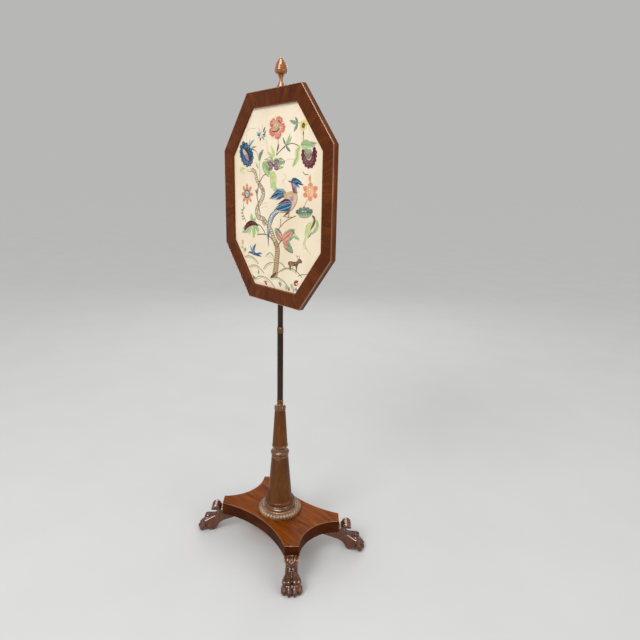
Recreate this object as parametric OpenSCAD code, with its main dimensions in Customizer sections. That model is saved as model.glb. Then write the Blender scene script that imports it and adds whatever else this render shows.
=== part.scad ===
// Pole screen: an octagonal needlework screen that slides and turns on a pole,
// over a turned column and a hollow-sided platform with four paw feet.
// Millimetres. The origin is on the floor under the pole, +Z is up, and the screen faces -Y.

/* [Overall] */
// Height from the floor to the tip of the finial
total_height = 1488; // [1438:5:1548]
// Turn of the base under the screen, in degrees
base_turn = 5; // [-10:1:10]
// Radial gap of a glued joint
fit_gap = 0.05; // [0.03:0.01:0.1]
// Radial gap of a sliding or turning fit
run_gap = 0.06; // [0.04:0.01:0.1]

/* [Platform] */
// Distance between the middles of the cut corners, along the length
corner_span_x = 343; // [325:1:360]
// Distance between the middles of the cut corners, across the width
corner_span_y = 208; // [198:1:220]
// Length between the hollows of the short sides
waist_x = 300; // [290:1:310]
// Width between the hollows of the long sides
waist_y = 168; // [158:1:176]
// Width of each cut corner
corner_flat = 43; // [40:1:48]
// Thickness of the platform's core
core_h = 38.5; // [32:0.5:44]
// Thickness of the platform's veneer
veneer_t = 1.5; // [1:0.1:2.5]

/* [Feet] */
// Height of the platform's underside above the floor
foot_height = 67; // [63:1:73]
// Width of the leg behind the scroll and at the ankle
ankle_w = 38; // [34:1:40]
// Length of the foot's tail under the platform
tail_len = 52; // [46:1:58]
// Depth of the tail at its inner end
tail_depth = 13; // [10:1:16]
// Depth of the leg under the platform's corner
leg_depth = 30; // [26:1:34]
// Width of the scroll
scroll_w = 48; // [44:1:54]
// Radius of the scroll's roll
scroll_r = 11.5; // [10.5:0.5:12.5]
// Reach of the scroll beyond the platform's corner
scroll_reach = 45; // [42:1:49]
// Rise of the scroll above the platform's underside
scroll_rise = 28; // [26:1:30]
// Reach of the neck under the scroll
neck_reach = 23; // [20:1:26]
// Reach of the heel beyond the platform's corner
heel_reach = 33; // [30:1:36]
// Height of the heel's edge above the floor
heel_h = 2; // [1:0.5:4]
// Height of the hollow behind the heel
hollow_h = 16; // [13:1:20]
// Reach of the middle toes beyond the platform's corner
paw_reach = 88; // [84:1:93]
// How much shorter the outer toes are
toe_setback = 8; // [5:1:12]
// Radius of each middle toe's pad
inner_toe_r = 9; // [8:0.5:10]
// Radius of each outer toe's pad
outer_toe_r = 11; // [10:0.5:12]
// Width of the paw over its toes
paw_w = 65; // [60:1:70]
// Height of the ridges' centres where they leave the ankle, below the platform's underside
ridge_drop = 20; // [18:1:23]
// Height of the knuckles' centres
knuckle_h = 35; // [31:1:39]
// Distance of the knuckles behind the toe tips
knuckle_back = 29; // [26:1:32]
// Width over the knuckles
knuckle_w = 57; // [52:1:62]
// Radius of each knuckle
knuckle_r = 8.5; // [7.5:0.5:9.5]
// Reach of the sole's middle beyond the platform's corner
sole_reach = 58; // [55:1:61]
// Turn of each paw towards the platform's length, in degrees
paw_turn = 3.5; // [0:0.5:6]
// Radius of the flat sole
sole_r = 22; // [18:1:24]
// Radius of the dowels in the feet
dowel_r = 5; // [4:0.5:6]
// Length of the dowels
dowel_len = 36; // [28:1:44]
// Distance of the dowels inside the platform's corner
dowel_in = 15; // [12:1:18]
// Distance of the foot screws inside the platform's corner
screw_in = 39; // [34:1:42]
// Radius of the foot screws' shanks
foot_screw_r = 2.2; // [1.8:0.1:2.8]
// Radius of the foot screws' heads
foot_screw_head_r = 4.8; // [4:0.1:6]
// Height of the foot screws' heads
foot_screw_head_h = 3.4; // [2.6:0.1:4]
// Length of the foot screws above their heads
foot_screw_len = 42; // [34:1:46]

/* [Column] */
// Radius of the carved ring at the column's foot
base_ring_r = 74; // [68:1:78]
// Height of the carved ring
base_ring_h = 17.5; // [15:0.5:20]
// Radius of the column's seat inside the carved ring
seat_r = 40; // [36:1:44]
// Radius of the fillet above the carved ring
fillet_r = 52; // [50:0.5:54]
// Radius of the torus at the column's foot
torus_r = 48; // [46.5:0.5:49]
// Height of the torus
torus_h = 14; // [12:0.5:15]
// Radius of the lower column at its foot
lower_foot_r = 39.5; // [37:0.5:41]
// Radius of the lower column at its top
lower_top_r = 27.5; // [26.5:0.5:28]
// Height of the lower column above the platform
lower_h = 189; // [175:1:205]
// Radius of the tenon through the platform
tenon_r = 19; // [16:0.5:22]
// Thickness of the tenon's wedge at its wide end
wedge_t = 3; // [2:0.5:4]
// Height of the tenon's wedge
wedge_h = 22; // [16:1:26]
// Height of the double knop
knop_h = 34; // [30:1:38]
// Radius of the knop
knop_r = 30; // [28.5:0.5:31]
// Radius of the upper column at its lip
upper_lip_r = 26; // [25:0.5:27]
// Radius of the upper column just above its lip
upper_foot_r = 24.4; // [23:0.2:24.8]
// Radius of the upper column at its top
upper_top_r = 17; // [16:0.2:17.4]
// Height of the upper column
upper_h = 131; // [120:1:142]
// Radius of the tenon between the columns
column_tenon_r = 10; // [9:0.5:12]
// Depth of that tenon in the lower column
column_tenon_in = 36; // [30:1:42]
// Radius of the capital
capital_r = 18.4; // [17.8:0.2:19.4]
// Height of the capital
capital_h = 19; // [17:0.5:21]

/* [Pole] */
// Radius of the lower pole
pole_lower_r = 9.2; // [8.8:0.1:10]
// Radius of the upper pole
pole_upper_r = 8.3; // [7.8:0.1:8.6]
// Height of the ring at the pole's foot
pole_ring_h = 16; // [14:0.5:18]
// Radius of the ring at the pole's foot
pole_ring_r = 10; // [9.6:0.1:10.6]
// Radius of the tenon at the pole's foot
pole_tenon_r = 6.5; // [5.5:0.5:7]
// Depth of that tenon in the upper column
pole_tenon_in = 44; // [34:1:54]
// Radius of the ferrule
ferrule_r = 9.8; // [9.4:0.1:10.4]
// Height of the ferrule
ferrule_h = 19; // [16:0.5:22]
// Radius of the upper pole's spigot
spigot_r = 5.5; // [4.5:0.5:6]
// Depth of the spigot in the lower pole
spigot_in = 30; // [24:1:40]
// Travel of the collar down to the ferrule
slide_len = 84.8; // [70:0.2:100]

/* [Finial] */
// Height of the finial
finial_h = 82; // [78:1:86]
// Radius of the finial's bud
bud_r = 18; // [16:0.5:20]
// Radius of the finial's neck
finial_neck_r = 5; // [4.4:0.1:6]
// Radius of the finial's peg
peg_r = 4; // [3:0.5:5]
// Length of the finial's peg
peg_len = 22; // [16:1:28]

/* [Screen frame] */
// Width over the frame
frame_w = 511; // [490:1:530]
// Height over the frame
frame_h = 596; // [575:1:620]
// Length that each slanted corner takes from the width
corner_x = 130; // [120:1:140]
// Length that each slanted corner takes from the height
corner_z = 155; // [145:1:165]
// Width of the frame's members
rail_w = 43; // [40:0.5:46]
// Thickness of the frame's members
rail_t = 14; // [13:0.5:16]
// Thickness of the facing veneer
facing_t = 1; // [0.6:0.1:1.5]
// Height of the frame's top above the pole's top
over_pole = 2; // [0:0.5:4]
// Width of the bead round the frame
bead_w = 2.4; // [2:0.1:3]
// Height of the bead above the facing
bead_rise = 1.2; // [0.8:0.1:1.6]
// Depth of the bead strip
bead_depth = 4; // [3:0.1:5]
// Gap between the strips of bead and facing at each mitre
mitre_gap = 0.1; // [0.06:0.02:0.2]
// Width of the rebate behind the frame
rebate_w = 5.5; // [4.5:0.1:7]
// Length of each loose tongue along its mitre
key_len = 22; // [16:1:26]
// Width of each loose tongue across its mitre
key_w = 18; // [14:1:22]
// Thickness of the loose tongues
key_t = 3; // [2:0.5:4]

/* [Panel] */
// Thickness of the needlework
cloth_t = 0.8; // [0.6:0.1:1.2]
// Thickness of the backing board
board_t = 2.6; // [2:0.1:3]
// Thickness of the back cover
cover_t = 1; // [0.8:0.1:1.4]
// Gap round the panel in its rebate
panel_gap = 0.4; // [0.2:0.1:0.8]
// Radius of the brads
brad_r = 0.5; // [0.4:0.05:0.55]
// Length of the brads
brad_len = 10; // [8:0.5:12]
// Length of each brad in the frame
brad_in = 4.5; // [3.5:0.5:5]
// Wood behind each brad
brad_wall = 0.5; // [0.3:0.1:1]

/* [Sleeves and collar] */
// Wall of the sleeves and the collar
ring_wall = 3.4; // [2.8:0.1:4]
// Height of each sleeve
sleeve_h = 12; // [10:0.5:14]
// Width of the plates
plate_w = 44; // [38:1:50]
// Height of the plates
plate_h = 26; // [24:0.5:28]
// Thickness of the plates
plate_t = 1.8; // [1.4:0.1:2.2]
// Distance of the plates inside the frame's edge
plate_in = 6; // [4:0.5:8]
// Gap between a plate and the collar that turns beside it
plate_clear = 0.4; // [0.35:0.05:0.6]
// Gap between the collar and the lower sleeve
thrust_gap = 0.2; // [0.1:0.05:0.3]
// Height of the collar
collar_h = 14; // [13:0.5:15]
// Radius of the thumb screw's shank
thumb_r = 2.5; // [2:0.1:3]
// Radius of the boss round the thumb screw
boss_r = 5.5; // [4.5:0.1:6]
// Reach of the boss from the pole's axis
boss_reach = 17; // [15:0.5:19]
// Radius of the thumb screw's head
thumb_head_r = 6.5; // [5.5:0.1:7.5]
// Length of the thumb screw's head
thumb_head_l = 8; // [6:0.5:9]
// Radius of the plate screws' shanks
plate_screw_r = 1.3; // [1:0.1:1.6]
// Radius of the plate screws' heads
plate_screw_head_r = 2.6; // [2.2:0.1:3.2]
// Length of the plate screws
plate_screw_len = 10; // [8:0.5:12]
// Distance of the plate screws inside the plates' edges
plate_screw_in = 5.5; // [4.5:0.5:6.5]
// Width of the web between each sleeve and its plate
web_w = 16; // [14:0.5:18]

/* [Hidden] */

round_fn = 96;
small_fn = 32;
toe_fn = 18;
// Extra length of a cut past the face that it opens
over = 1;
// Lap of two shapes within one piece
lap = 8;
// Width and depth of the screws' slots
slot_w = 1.2;
slot_d = 1.4;
// Room round a sunk screw head, and how deep the foot screws' heads are sunk
head_gap = 1;
head_sink = 1;
// Grooves round the thumb screw's head
grip_count = 12;
grip_r = 0.8;

wood_dark = "#5e2f16";
wood_mid = "#7a431f";
wood_warm = "#955022";
wood_edge = "#45210f";
wood_plain = "#a98256";
brass_colour = "#a8834a";
steel_colour = "#8c8a86";
linen_colour = "#efe4c6";

// Heights of the stack, from the floor up
platform_top = foot_height + core_h + veneer_t;
knop_z = platform_top + lower_h;
upper_z = knop_z + knop_h;
capital_z = upper_z + upper_h;
pole_ring_z = capital_z + capital_h;
pole_z = pole_ring_z + pole_ring_h;
pole_top = total_height - finial_h;

// Platform outline
corner_a = corner_span_x / 2;
corner_b = corner_span_y / 2;
corner_k = (corner_a + corner_b) / sqrt(2);
corner_s = corner_flat / 2 / sqrt(2);
long_sag = corner_b + corner_s - waist_y / 2;
short_sag = corner_a + corner_s - waist_x / 2;
long_r = arc_radius(corner_a - corner_s, long_sag);
short_r = arc_radius(corner_b - corner_s, short_sag);

// Screen frame
ring_r = pole_upper_r + run_gap + ring_wall;
frame_back = ring_r + plate_clear + plate_t;
frame_front = frame_back + rail_t;
facing_front = frame_front + facing_t;
frame_z = pole_top + over_pole - frame_h / 2;
panel_t = cloth_t + board_t + cover_t;
rebate_d = panel_t + 2 * brad_r + brad_wall;
rebate_y = frame_back + rebate_d;
panel_in = rail_w - rebate_w + panel_gap;
bead_back = facing_front + bead_rise - bead_depth;

// Slider
plate_top_z = pole_top + over_pole - plate_in;
plate_bottom_z = plate_top_z - frame_h + 2 * plate_in + plate_h;
upper_sleeve_z = plate_top_z - plate_h;
lower_sleeve_z = plate_bottom_z - sleeve_h;
collar_z = lower_sleeve_z - thrust_gap - collar_h;
thumb_z = collar_z + collar_h / 2;
pole_upper_z = collar_z - slide_len;
ferrule_z = pole_upper_z - ferrule_h;

function arc_radius(half, sag) = (half * half + sag * sag) / (2 * sag);

function arc(x, z, r, from, to, steps = 6) =
    [for (i = [0:steps]) let (a = from + (to - from) * i / steps) [x + r * cos(a), z + r * sin(a)]];

// Corners of the frame's octagon, moved inward by a distance, anticlockwise from the top left
function slant_len() = sqrt(corner_x * corner_x + corner_z * corner_z);
function half_in(d) = [frame_w / 2 - d, frame_h / 2 - d];
function slant_at(d) =
    (corner_z * frame_w / 2 + corner_x * (frame_h / 2 - corner_z)) / slant_len() - d;
function top_x(d) = (slant_at(d) * slant_len() - corner_x * half_in(d)[1]) / corner_z;
function side_z(d) = (slant_at(d) * slant_len() - corner_z * half_in(d)[0]) / corner_x;
function octagon(d) = let (h = half_in(d), x = top_x(d), z = side_z(d))
    [[-x, h[1]], [-h[0], z], [-h[0], -z], [-x, -h[1]], [x, -h[1]], [h[0], -z], [h[0], z], [x, h[1]]];

module turned(points) {
    rotate_extrude($fn = round_fn) polygon(points);
}

module peg(r, z, h) {
    translate([0, 0, z]) cylinder(r = r, h = h, $fn = small_fn);
}

// Platform

module platform_slab(inset, z, h) {
    difference() {
        translate([0, 0, z]) rotate(45) translate([inset - corner_k, inset - corner_k, 0])
            cube([2 * (corner_k - inset), 2 * (corner_k - inset), h]);
        for (side = [-1, 1]) {
            translate([0, side * (waist_y / 2 + long_r), z - over])
                cylinder(r = long_r + inset, h = h + 2 * over, $fn = round_fn);
            translate([side * (waist_x / 2 + short_r), 0, z - over])
                cylinder(r = short_r + inset, h = h + 2 * over, $fn = round_fn);
        }
    }
}

// A place at one corner of the platform, with +X pointing outward
module at_corner(sx, sy) {
    rotate(base_turn) translate([sx * corner_a, sy * corner_b, 0]) rotate(atan2(sy, sx)) children();
}

module at_corners() {
    for (sx = [-1, 1], sy = [-1, 1]) at_corner(sx, sy) children();
}

module platform_core() {
    color(wood_plain) difference() {
        rotate(base_turn) platform_slab(veneer_t, foot_height, core_h);
        peg(tenon_r + fit_gap, foot_height - over, core_h + 2 * over);
        at_corners() {
            translate([-dowel_in, 0, 0])
                peg(dowel_r + fit_gap, foot_height - over, over + dowel_len / 2);
            translate([-screw_in, 0, 0])
                peg(foot_screw_r + fit_gap, foot_height - over, over + foot_screw_len - tail_at_screw());
        }
    }
}

module platform_top_veneer() {
    color(wood_warm) difference() {
        rotate(base_turn) platform_slab(0, foot_height + core_h, veneer_t);
        peg(tenon_r + fit_gap, foot_height + core_h - over, veneer_t + 2 * over);
    }
}

module platform_side_veneer() {
    color(wood_edge) rotate(base_turn) difference() {
        platform_slab(0, foot_height, core_h);
        platform_slab(veneer_t, foot_height - over, core_h + 2 * over);
    }
}

// Feet

function tail_at_screw() =
    tail_depth + (leg_depth - tail_depth) * (tail_len - screw_in) / tail_len;

function leg_outline() = [
    [-tail_len, foot_height],
    [-tail_len, foot_height - tail_depth],
    [0, foot_height - leg_depth],
    [neck_reach - 4, hollow_h],
    [heel_reach, heel_h],
    [sole_reach - lap, heel_h],
    [sole_reach - lap, knuckle_h],
    [neck_reach + 6, foot_height - 19],
    [neck_reach, foot_height - 13],
    [neck_reach, foot_height + lap],
    [0, foot_height + lap],
    [0, foot_height]
];

function scroll_outline() = concat(
    [[0, foot_height + scroll_rise - 3]],
    arc(scroll_reach - scroll_r, foot_height + scroll_rise - scroll_r, scroll_r, 90, -110, 10),
    [[neck_reach, foot_height - 6], [0, foot_height - 6]]
);

module side_shape(points, w) {
    translate([0, w / 2, 0]) rotate([90, 0, 0]) linear_extrude(w) polygon(points);
}

module toe(side, knuckle_y, pad_x, pad_y, pad_r) {
    hull() {
        translate([neck_reach + lap, side * knuckle_y / 3, foot_height - ridge_drop])
            sphere(r = knuckle_r, $fn = toe_fn);
        translate([paw_reach - knuckle_back, side * knuckle_y, knuckle_h])
            sphere(r = knuckle_r, $fn = toe_fn);
        translate([pad_x, side * pad_y, pad_r - 1]) sphere(r = pad_r, $fn = toe_fn);
    }
}

// Four toes and the sole, turned about the ankle
module paw(turn) {
    translate([neck_reach, 0, 0]) rotate(turn) translate([-neck_reach, 0, 0]) {
        for (side = [-1, 1]) {
            toe(side, inner_toe_r, paw_reach - inner_toe_r, inner_toe_r - 1, inner_toe_r);
            toe(side, knuckle_w / 2 - knuckle_r, paw_reach - toe_setback - outer_toe_r,
                paw_w / 2 - outer_toe_r, outer_toe_r);
        }
        translate([sole_reach, 0, 0]) cylinder(r = sole_r, h = heel_h + lap, $fn = 64);
    }
}

module foot(turn) {
    color(wood_mid) difference() {
        union() {
            side_shape(leg_outline(), ankle_w);
            intersection() {
                side_shape(scroll_outline(), scroll_w);
                translate([0, 0, foot_height - lap]) linear_extrude(scroll_rise + 2 * lap) {
                    translate([0, -scroll_w / 2]) square([scroll_reach - scroll_w / 2, scroll_w]);
                    translate([scroll_reach - scroll_w / 2, 0]) circle(r = scroll_w / 2, $fn = 64);
                }
            }
            paw(turn);
        }
        translate([0, -paw_w, -paw_w]) cube([2 * paw_reach, 2 * paw_w, paw_w]);
        translate([-dowel_in, 0, 0])
            peg(dowel_r + fit_gap, foot_height - dowel_len / 2, dowel_len / 2 + over);
        translate([-screw_in, 0, 0]) {
            peg(foot_screw_r + fit_gap, foot_height - leg_depth, leg_depth + over);
            peg(foot_screw_head_r + head_gap, foot_height - leg_depth,
                leg_depth - tail_at_screw() + head_sink);
        }
    }
}

module foot_front_left() { at_corner(-1, -1) foot(-paw_turn); }
module foot_front_right() { at_corner(1, -1) foot(paw_turn); }
module foot_back_left() { at_corner(-1, 1) foot(paw_turn); }
module foot_back_right() { at_corner(1, 1) foot(-paw_turn); }

module foot_dowels() {
    color(wood_plain) at_corners() translate([-dowel_in, 0, 0])
        peg(dowel_r, foot_height - dowel_len / 2, dowel_len);
}

module foot_screws() {
    head_z = foot_height - tail_at_screw() + head_sink;
    color(steel_colour) at_corners() translate([-screw_in, 0, head_z]) difference() {
        union() {
            cylinder(r = foot_screw_r, h = foot_screw_len - head_sink, $fn = small_fn);
            translate([0, 0, -foot_screw_head_h])
                cylinder(r = foot_screw_head_r, h = foot_screw_head_h, $fn = small_fn);
        }
        translate([-foot_screw_head_r, -slot_w / 2, -foot_screw_head_h - over])
            cube([2 * foot_screw_head_r, slot_w, slot_d + over]);
    }
}

// Column

module base_ring() {
    top = platform_top + base_ring_h;
    color(wood_mid) turned(concat(
        [[seat_r + fit_gap, platform_top], [base_ring_r, platform_top], [base_ring_r, platform_top + 4]],
        arc(base_ring_r - 13, platform_top + 4, 11.5, 10, 75, 6),
        [[fillet_r + 3, top - 0.5], [fillet_r + 2, top], [seat_r + fit_gap, top]]
    ));
}

module lower_column() {
    seat_top = platform_top + base_ring_h;
    torus_z = seat_top + 12.5 + torus_h / 2;
    color(wood_dark) difference() {
        turned(concat(
            [[0, foot_height], [tenon_r, foot_height], [tenon_r, platform_top], [seat_r, platform_top],
             [seat_r, seat_top], [fillet_r, seat_top], [fillet_r, seat_top + 5]],
            arc(fillet_r, seat_top + 9, 5.5, 250, 180, 4),
            [[torus_r - 4, torus_z - torus_h / 2]],
            arc(torus_r - torus_h / 2, torus_z, torus_h / 2, -80, 80, 8),
            [[lower_foot_r + 0.6, torus_z + torus_h / 2], [lower_foot_r, torus_z + torus_h / 2 + 2],
             [lower_top_r, knop_z], [0, knop_z]]
        ));
        peg(column_tenon_r + fit_gap, knop_z - column_tenon_in, column_tenon_in + over);
        wedge(fit_gap, over);
    }
}

module wedge(gap, below) {
    rotate(base_turn) translate([-tenon_r - below, 0, foot_height]) rotate([90, 0, 90])
        linear_extrude(2 * (tenon_r + below)) polygon([
            [-wedge_t / 2 - gap, -below], [wedge_t / 2 + gap, -below],
            [wedge_t / 3 + gap, wedge_h + gap], [-wedge_t / 3 - gap, wedge_h + gap]
        ]);
}

module tenon_wedge() {
    color(wood_plain) intersection() {
        wedge(0, 0);
        peg(tenon_r - 1, foot_height, wedge_h + over);
    }
}

module column_knop() {
    color(wood_dark) turned(concat(
        [[column_tenon_r + fit_gap, knop_z], [lower_top_r - 1, knop_z], [lower_top_r - 0.6, knop_z + 2]],
        arc(lower_top_r - 5, knop_z + 8, 5.5, -60, 60, 6),
        [[lower_top_r - 1.5, knop_z + 13.6]],
        arc(knop_r - 6.2, knop_z + 19.5, 6.2, -65, 80, 8),
        [[upper_foot_r - 1.8, knop_z + knop_h - 7]],
        [[upper_foot_r - 2.2, knop_z + knop_h], [column_tenon_r + fit_gap, knop_z + knop_h]]
    ));
}

module upper_column() {
    color(wood_dark) difference() {
        turned([
            [0, knop_z - column_tenon_in + 1], [column_tenon_r, knop_z - column_tenon_in + 1],
            [column_tenon_r, upper_z], [upper_foot_r - 2.2, upper_z], [upper_foot_r - 1, upper_z + 4],
            [upper_lip_r - 0.4, upper_z + 6.5], [upper_lip_r, upper_z + 8.5],
            [upper_lip_r - 0.3, upper_z + 10.5], [upper_foot_r, upper_z + 13],
            [upper_top_r, capital_z], [0, capital_z]
        ]);
        peg(pole_tenon_r + fit_gap, capital_z - pole_tenon_in, pole_tenon_in + over);
    }
}

module capital() {
    color(wood_mid) turned([
        [pole_tenon_r + fit_gap, capital_z], [upper_top_r - 0.5, capital_z],
        [capital_r - 0.5, capital_z + 1.5], [capital_r - 0.1, capital_z + 3.5],
        [capital_r - 0.8, capital_z + 5.5], [capital_r - 1, capital_z + 6.6],
        [capital_r, capital_z + 8], [capital_r - 0.2, capital_z + 11],
        [capital_r - 1.9, capital_z + 15], [capital_r - 2.8, capital_z + capital_h - 1],
        [capital_r - 3, capital_z + capital_h], [pole_tenon_r + fit_gap, capital_z + capital_h]
    ]);
}

// Pole

module pole_ring() {
    color(brass_colour) turned([
        [pole_tenon_r + fit_gap, pole_ring_z], [pole_ring_r, pole_ring_z],
        [pole_ring_r - 0.9, pole_ring_z + 1.5], [pole_ring_r - 0.9, pole_ring_z + pole_ring_h - 7],
        [pole_ring_r, pole_ring_z + pole_ring_h - 5.6], [pole_ring_r, pole_ring_z + pole_ring_h - 2],
        [pole_lower_r, pole_ring_z + pole_ring_h], [pole_tenon_r + fit_gap, pole_ring_z + pole_ring_h]
    ]);
}

module pole_lower() {
    color(wood_dark) difference() {
        union() {
            peg(pole_lower_r, pole_z, ferrule_z - pole_z);
            peg(pole_tenon_r, capital_z - pole_tenon_in + 1, pole_z - capital_z + pole_tenon_in);
        }
        peg(spigot_r + fit_gap, ferrule_z - spigot_in, spigot_in + over);
    }
}

module pole_ferrule() {
    color(brass_colour) turned([
        [spigot_r + fit_gap, ferrule_z], [pole_lower_r, ferrule_z], [ferrule_r, ferrule_z + 2],
        [ferrule_r, ferrule_z + ferrule_h - 2], [pole_upper_r + 0.4, ferrule_z + ferrule_h],
        [spigot_r + fit_gap, ferrule_z + ferrule_h]
    ]);
}

module pole_upper() {
    color(wood_dark) difference() {
        union() {
            peg(pole_upper_r, pole_upper_z, pole_top - pole_upper_z);
            peg(spigot_r, ferrule_z - spigot_in + 1, ferrule_h + spigot_in);
        }
        peg(peg_r + run_gap, pole_top - peg_len - 2, peg_len + 2 + over);
    }
}

module finial() {
    base_r = ring_r;
    ring_z = finial_h - 48;
    bud_z = finial_h - 33;
    color(wood_warm) translate([0, 0, pole_top]) turned(concat(
        [[0, -peg_len], [peg_r, -peg_len], [peg_r, 0], [base_r, 0], [base_r, 6], [base_r - 0.6, 9.5],
         [base_r - 2, 12.5], [finial_neck_r + 2.8, 17], [finial_neck_r + 0.6, 21],
         [finial_neck_r, ring_z - 8], [finial_neck_r + 0.8, ring_z - 2]],
        arc(finial_neck_r + 1.4, ring_z + 2, 2.2, -70, 70, 4),
        [[finial_neck_r + 1.2, ring_z + 5], [bud_r - 9, ring_z + 6]],
        arc(bud_r - 10, bud_z, 10, -60, 20, 5),
        [[bud_r - 2.6, finial_h - 20], [bud_r - 5.2, finial_h - 13], [bud_r - 10.6, finial_h - 5.5],
         [bud_r - 14.4, finial_h - 1.2], [0, finial_h]]
    ));
}

// Slider

module height_collar() {
    color(brass_colour) difference() {
        union() {
            peg(ring_r, collar_z, collar_h);
            translate([0, 0, thumb_z]) rotate([-90, 0, 0])
                cylinder(r = boss_r, h = boss_reach, $fn = small_fn);
        }
        peg(pole_upper_r + run_gap, collar_z - over, collar_h + 2 * over);
        translate([0, 0, thumb_z]) rotate([-90, 0, 0])
            cylinder(r = thumb_r + run_gap, h = boss_reach + over, $fn = small_fn);
    }
}

module thumb_screw() {
    tip = pole_upper_r + 2 * run_gap;
    head = boss_reach + thrust_gap;
    color(brass_colour) translate([0, 0, thumb_z]) rotate([-90, 0, 0]) {
        translate([0, 0, tip]) cylinder(r = thumb_r, h = head - tip + over, $fn = small_fn);
        translate([0, 0, head]) cylinder(r = thumb_head_r - 2 * grip_r, h = thumb_head_l, $fn = small_fn);
        translate([0, 0, head + thumb_head_l / 4]) difference() {
            cylinder(r = thumb_head_r, h = thumb_head_l * 3 / 4, $fn = small_fn);
            for (i = [1:grip_count]) rotate(360 * i / grip_count)
                translate([thumb_head_r + grip_r / 4, 0, -over])
                    cylinder(r = grip_r, h = thumb_head_l + over, $fn = 16);
        }
    }
}

// Screen frame: shapes drawn in the screen's own plane and thickened along Y

module in_screen(front, back) {
    translate([0, -back, frame_z]) rotate([90, 0, 0]) linear_extrude(front - back) children();
}

module band(i, outer, inner) {
    o = octagon(outer);
    n = octagon(inner);
    j = (i + 1) % 8;
    polygon([o[i], o[j], n[j], n[i]]);
}

function mitre_mid(i) = (octagon(bead_w)[i] + octagon(rail_w - rebate_w)[i]) / 2;
function mitre_angle(i) = let (v = octagon(rail_w)[i] - octagon(0)[i]) atan2(v[1], v[0]);
function key_y() = (frame_front + rebate_y) / 2;

module keys(gap) {
    for (i = [0:7]) in_screen(key_y() + key_t / 2 + gap, key_y() - key_t / 2 - gap)
        translate(mitre_mid(i)) rotate(mitre_angle(i))
            square([key_len + 2 * gap, key_w + 2 * gap], center = true);
}

module member(i) {
    color(wood_dark) difference() {
        union() {
            in_screen(frame_front, bead_back) band(i, bead_w, rail_w);
            in_screen(bead_back, rebate_y) band(i, 0, rail_w);
            in_screen(rebate_y, frame_back) band(i, 0, rail_w - rebate_w);
        }
        keys(fit_gap);
        brads(fit_gap);
        plate_screws(fit_gap);
    }
}

module diagonal_top_left() { member(0); }
module stile_left() { member(1); }
module diagonal_bottom_left() { member(2); }
module rail_bottom() { member(3); }
module diagonal_bottom_right() { member(4); }
module stile_right() { member(5); }
module diagonal_top_right() { member(6); }
module rail_top() { member(7); }

module corner_keys() {
    color(wood_plain) keys(0);
}

// A thin cut along each mitre, so that the eight strips stay separate
module mitre_cuts() {
    for (i = [0:7]) translate(octagon(rail_w / 2)[i]) rotate(mitre_angle(i))
        square([3 * rail_w, mitre_gap], center = true);
}

module outer_bead() {
    color(wood_mid) in_screen(facing_front + bead_rise, bead_back) difference() {
        for (i = [0:7]) band(i, 0, bead_w);
        mitre_cuts();
    }
}

module frame_veneer() {
    color(wood_mid) in_screen(facing_front, frame_front) difference() {
        for (i = [0:7]) band(i, bead_w, rail_w);
        mitre_cuts();
    }
}

// Panel

module needlework() {
    color(linen_colour) in_screen(rebate_y, rebate_y - cloth_t) polygon(octagon(panel_in));
}

module backing_board() {
    color(wood_plain) in_screen(rebate_y - cloth_t, rebate_y - cloth_t - board_t)
        polygon(octagon(panel_in));
}

module back_cover() {
    color(wood_edge) in_screen(rebate_y - cloth_t - board_t, rebate_y - panel_t)
        polygon(octagon(panel_in));
}

// Two brads on each side, driven through the rebate's wall over the back cover
module brads(gap) {
    edge = octagon(rail_w - rebate_w);
    for (i = [0:7], t = [0.3, 0.7]) {
        j = (i + 1) % 8;
        p = edge[i] + (edge[j] - edge[i]) * t;
        v = edge[j] - edge[i];
        translate([p[0], -(rebate_y - panel_t - brad_r - fit_gap), frame_z + p[1]])
            rotate([0, -atan2(v[1], v[0]), 0]) rotate([180, 0, 0])
                translate([0, 0, -brad_len + brad_in])
                    cylinder(r = brad_r + gap, h = brad_len, $fn = 16);
    }
}

module back_brads() {
    color(steel_colour) brads(0);
}

// Sleeves

module sleeve(plate_z, ring_z) {
    color(brass_colour) difference() {
        union() {
            peg(ring_r, ring_z, sleeve_h);
            translate([-plate_w / 2, -frame_back, plate_z]) cube([plate_w, plate_t, plate_h]);
            translate([-web_w / 2, -frame_back, ring_z])
                cube([web_w, frame_back - pole_upper_r / 2, sleeve_h]);
        }
        peg(pole_upper_r + run_gap, ring_z - over, sleeve_h + 2 * over);
        plate_screws(fit_gap);
    }
}

module upper_sleeve() { sleeve(upper_sleeve_z, upper_sleeve_z); }
module lower_sleeve() { sleeve(plate_bottom_z - plate_h, lower_sleeve_z); }

// A place on the back of the plates for each of their screws, with +Z pointing into the frame
module at_plate_screws() {
    for (top = [plate_top_z, plate_bottom_z], x = [-1, 1], z = [plate_screw_in, plate_h - plate_screw_in])
        translate([x * (plate_w / 2 - plate_screw_in), plate_t - frame_back, top - z])
            rotate([90, 0, 0]) children();
}

module plate_screws(gap) {
    at_plate_screws() {
        cylinder(r = plate_screw_r + gap, h = plate_screw_len, $fn = small_fn);
        cylinder(r = plate_screw_head_r + gap, h = plate_t / 2, $fn = small_fn);
    }
}

module sleeve_screws() {
    color(steel_colour) difference() {
        plate_screws(0);
        at_plate_screws() cube([2 * plate_screw_head_r, slot_w / 2, plate_t / 2], center = true);
    }
}

platform_core();
platform_top_veneer();
platform_side_veneer();
foot_front_left();
foot_front_right();
foot_back_left();
foot_back_right();
foot_dowels();
foot_screws();
base_ring();
lower_column();
tenon_wedge();
column_knop();
upper_column();
capital();
pole_ring();
pole_lower();
pole_ferrule();
pole_upper();
finial();
height_collar();
thumb_screw();
rail_top();
rail_bottom();
stile_left();
stile_right();
diagonal_top_left();
diagonal_top_right();
diagonal_bottom_left();
diagonal_bottom_right();
corner_keys();
outer_bead();
frame_veneer();
needlework();
backing_board();
back_cover();
back_brads();
upper_sleeve();
lower_sleeve();
sleeve_screws();
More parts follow.
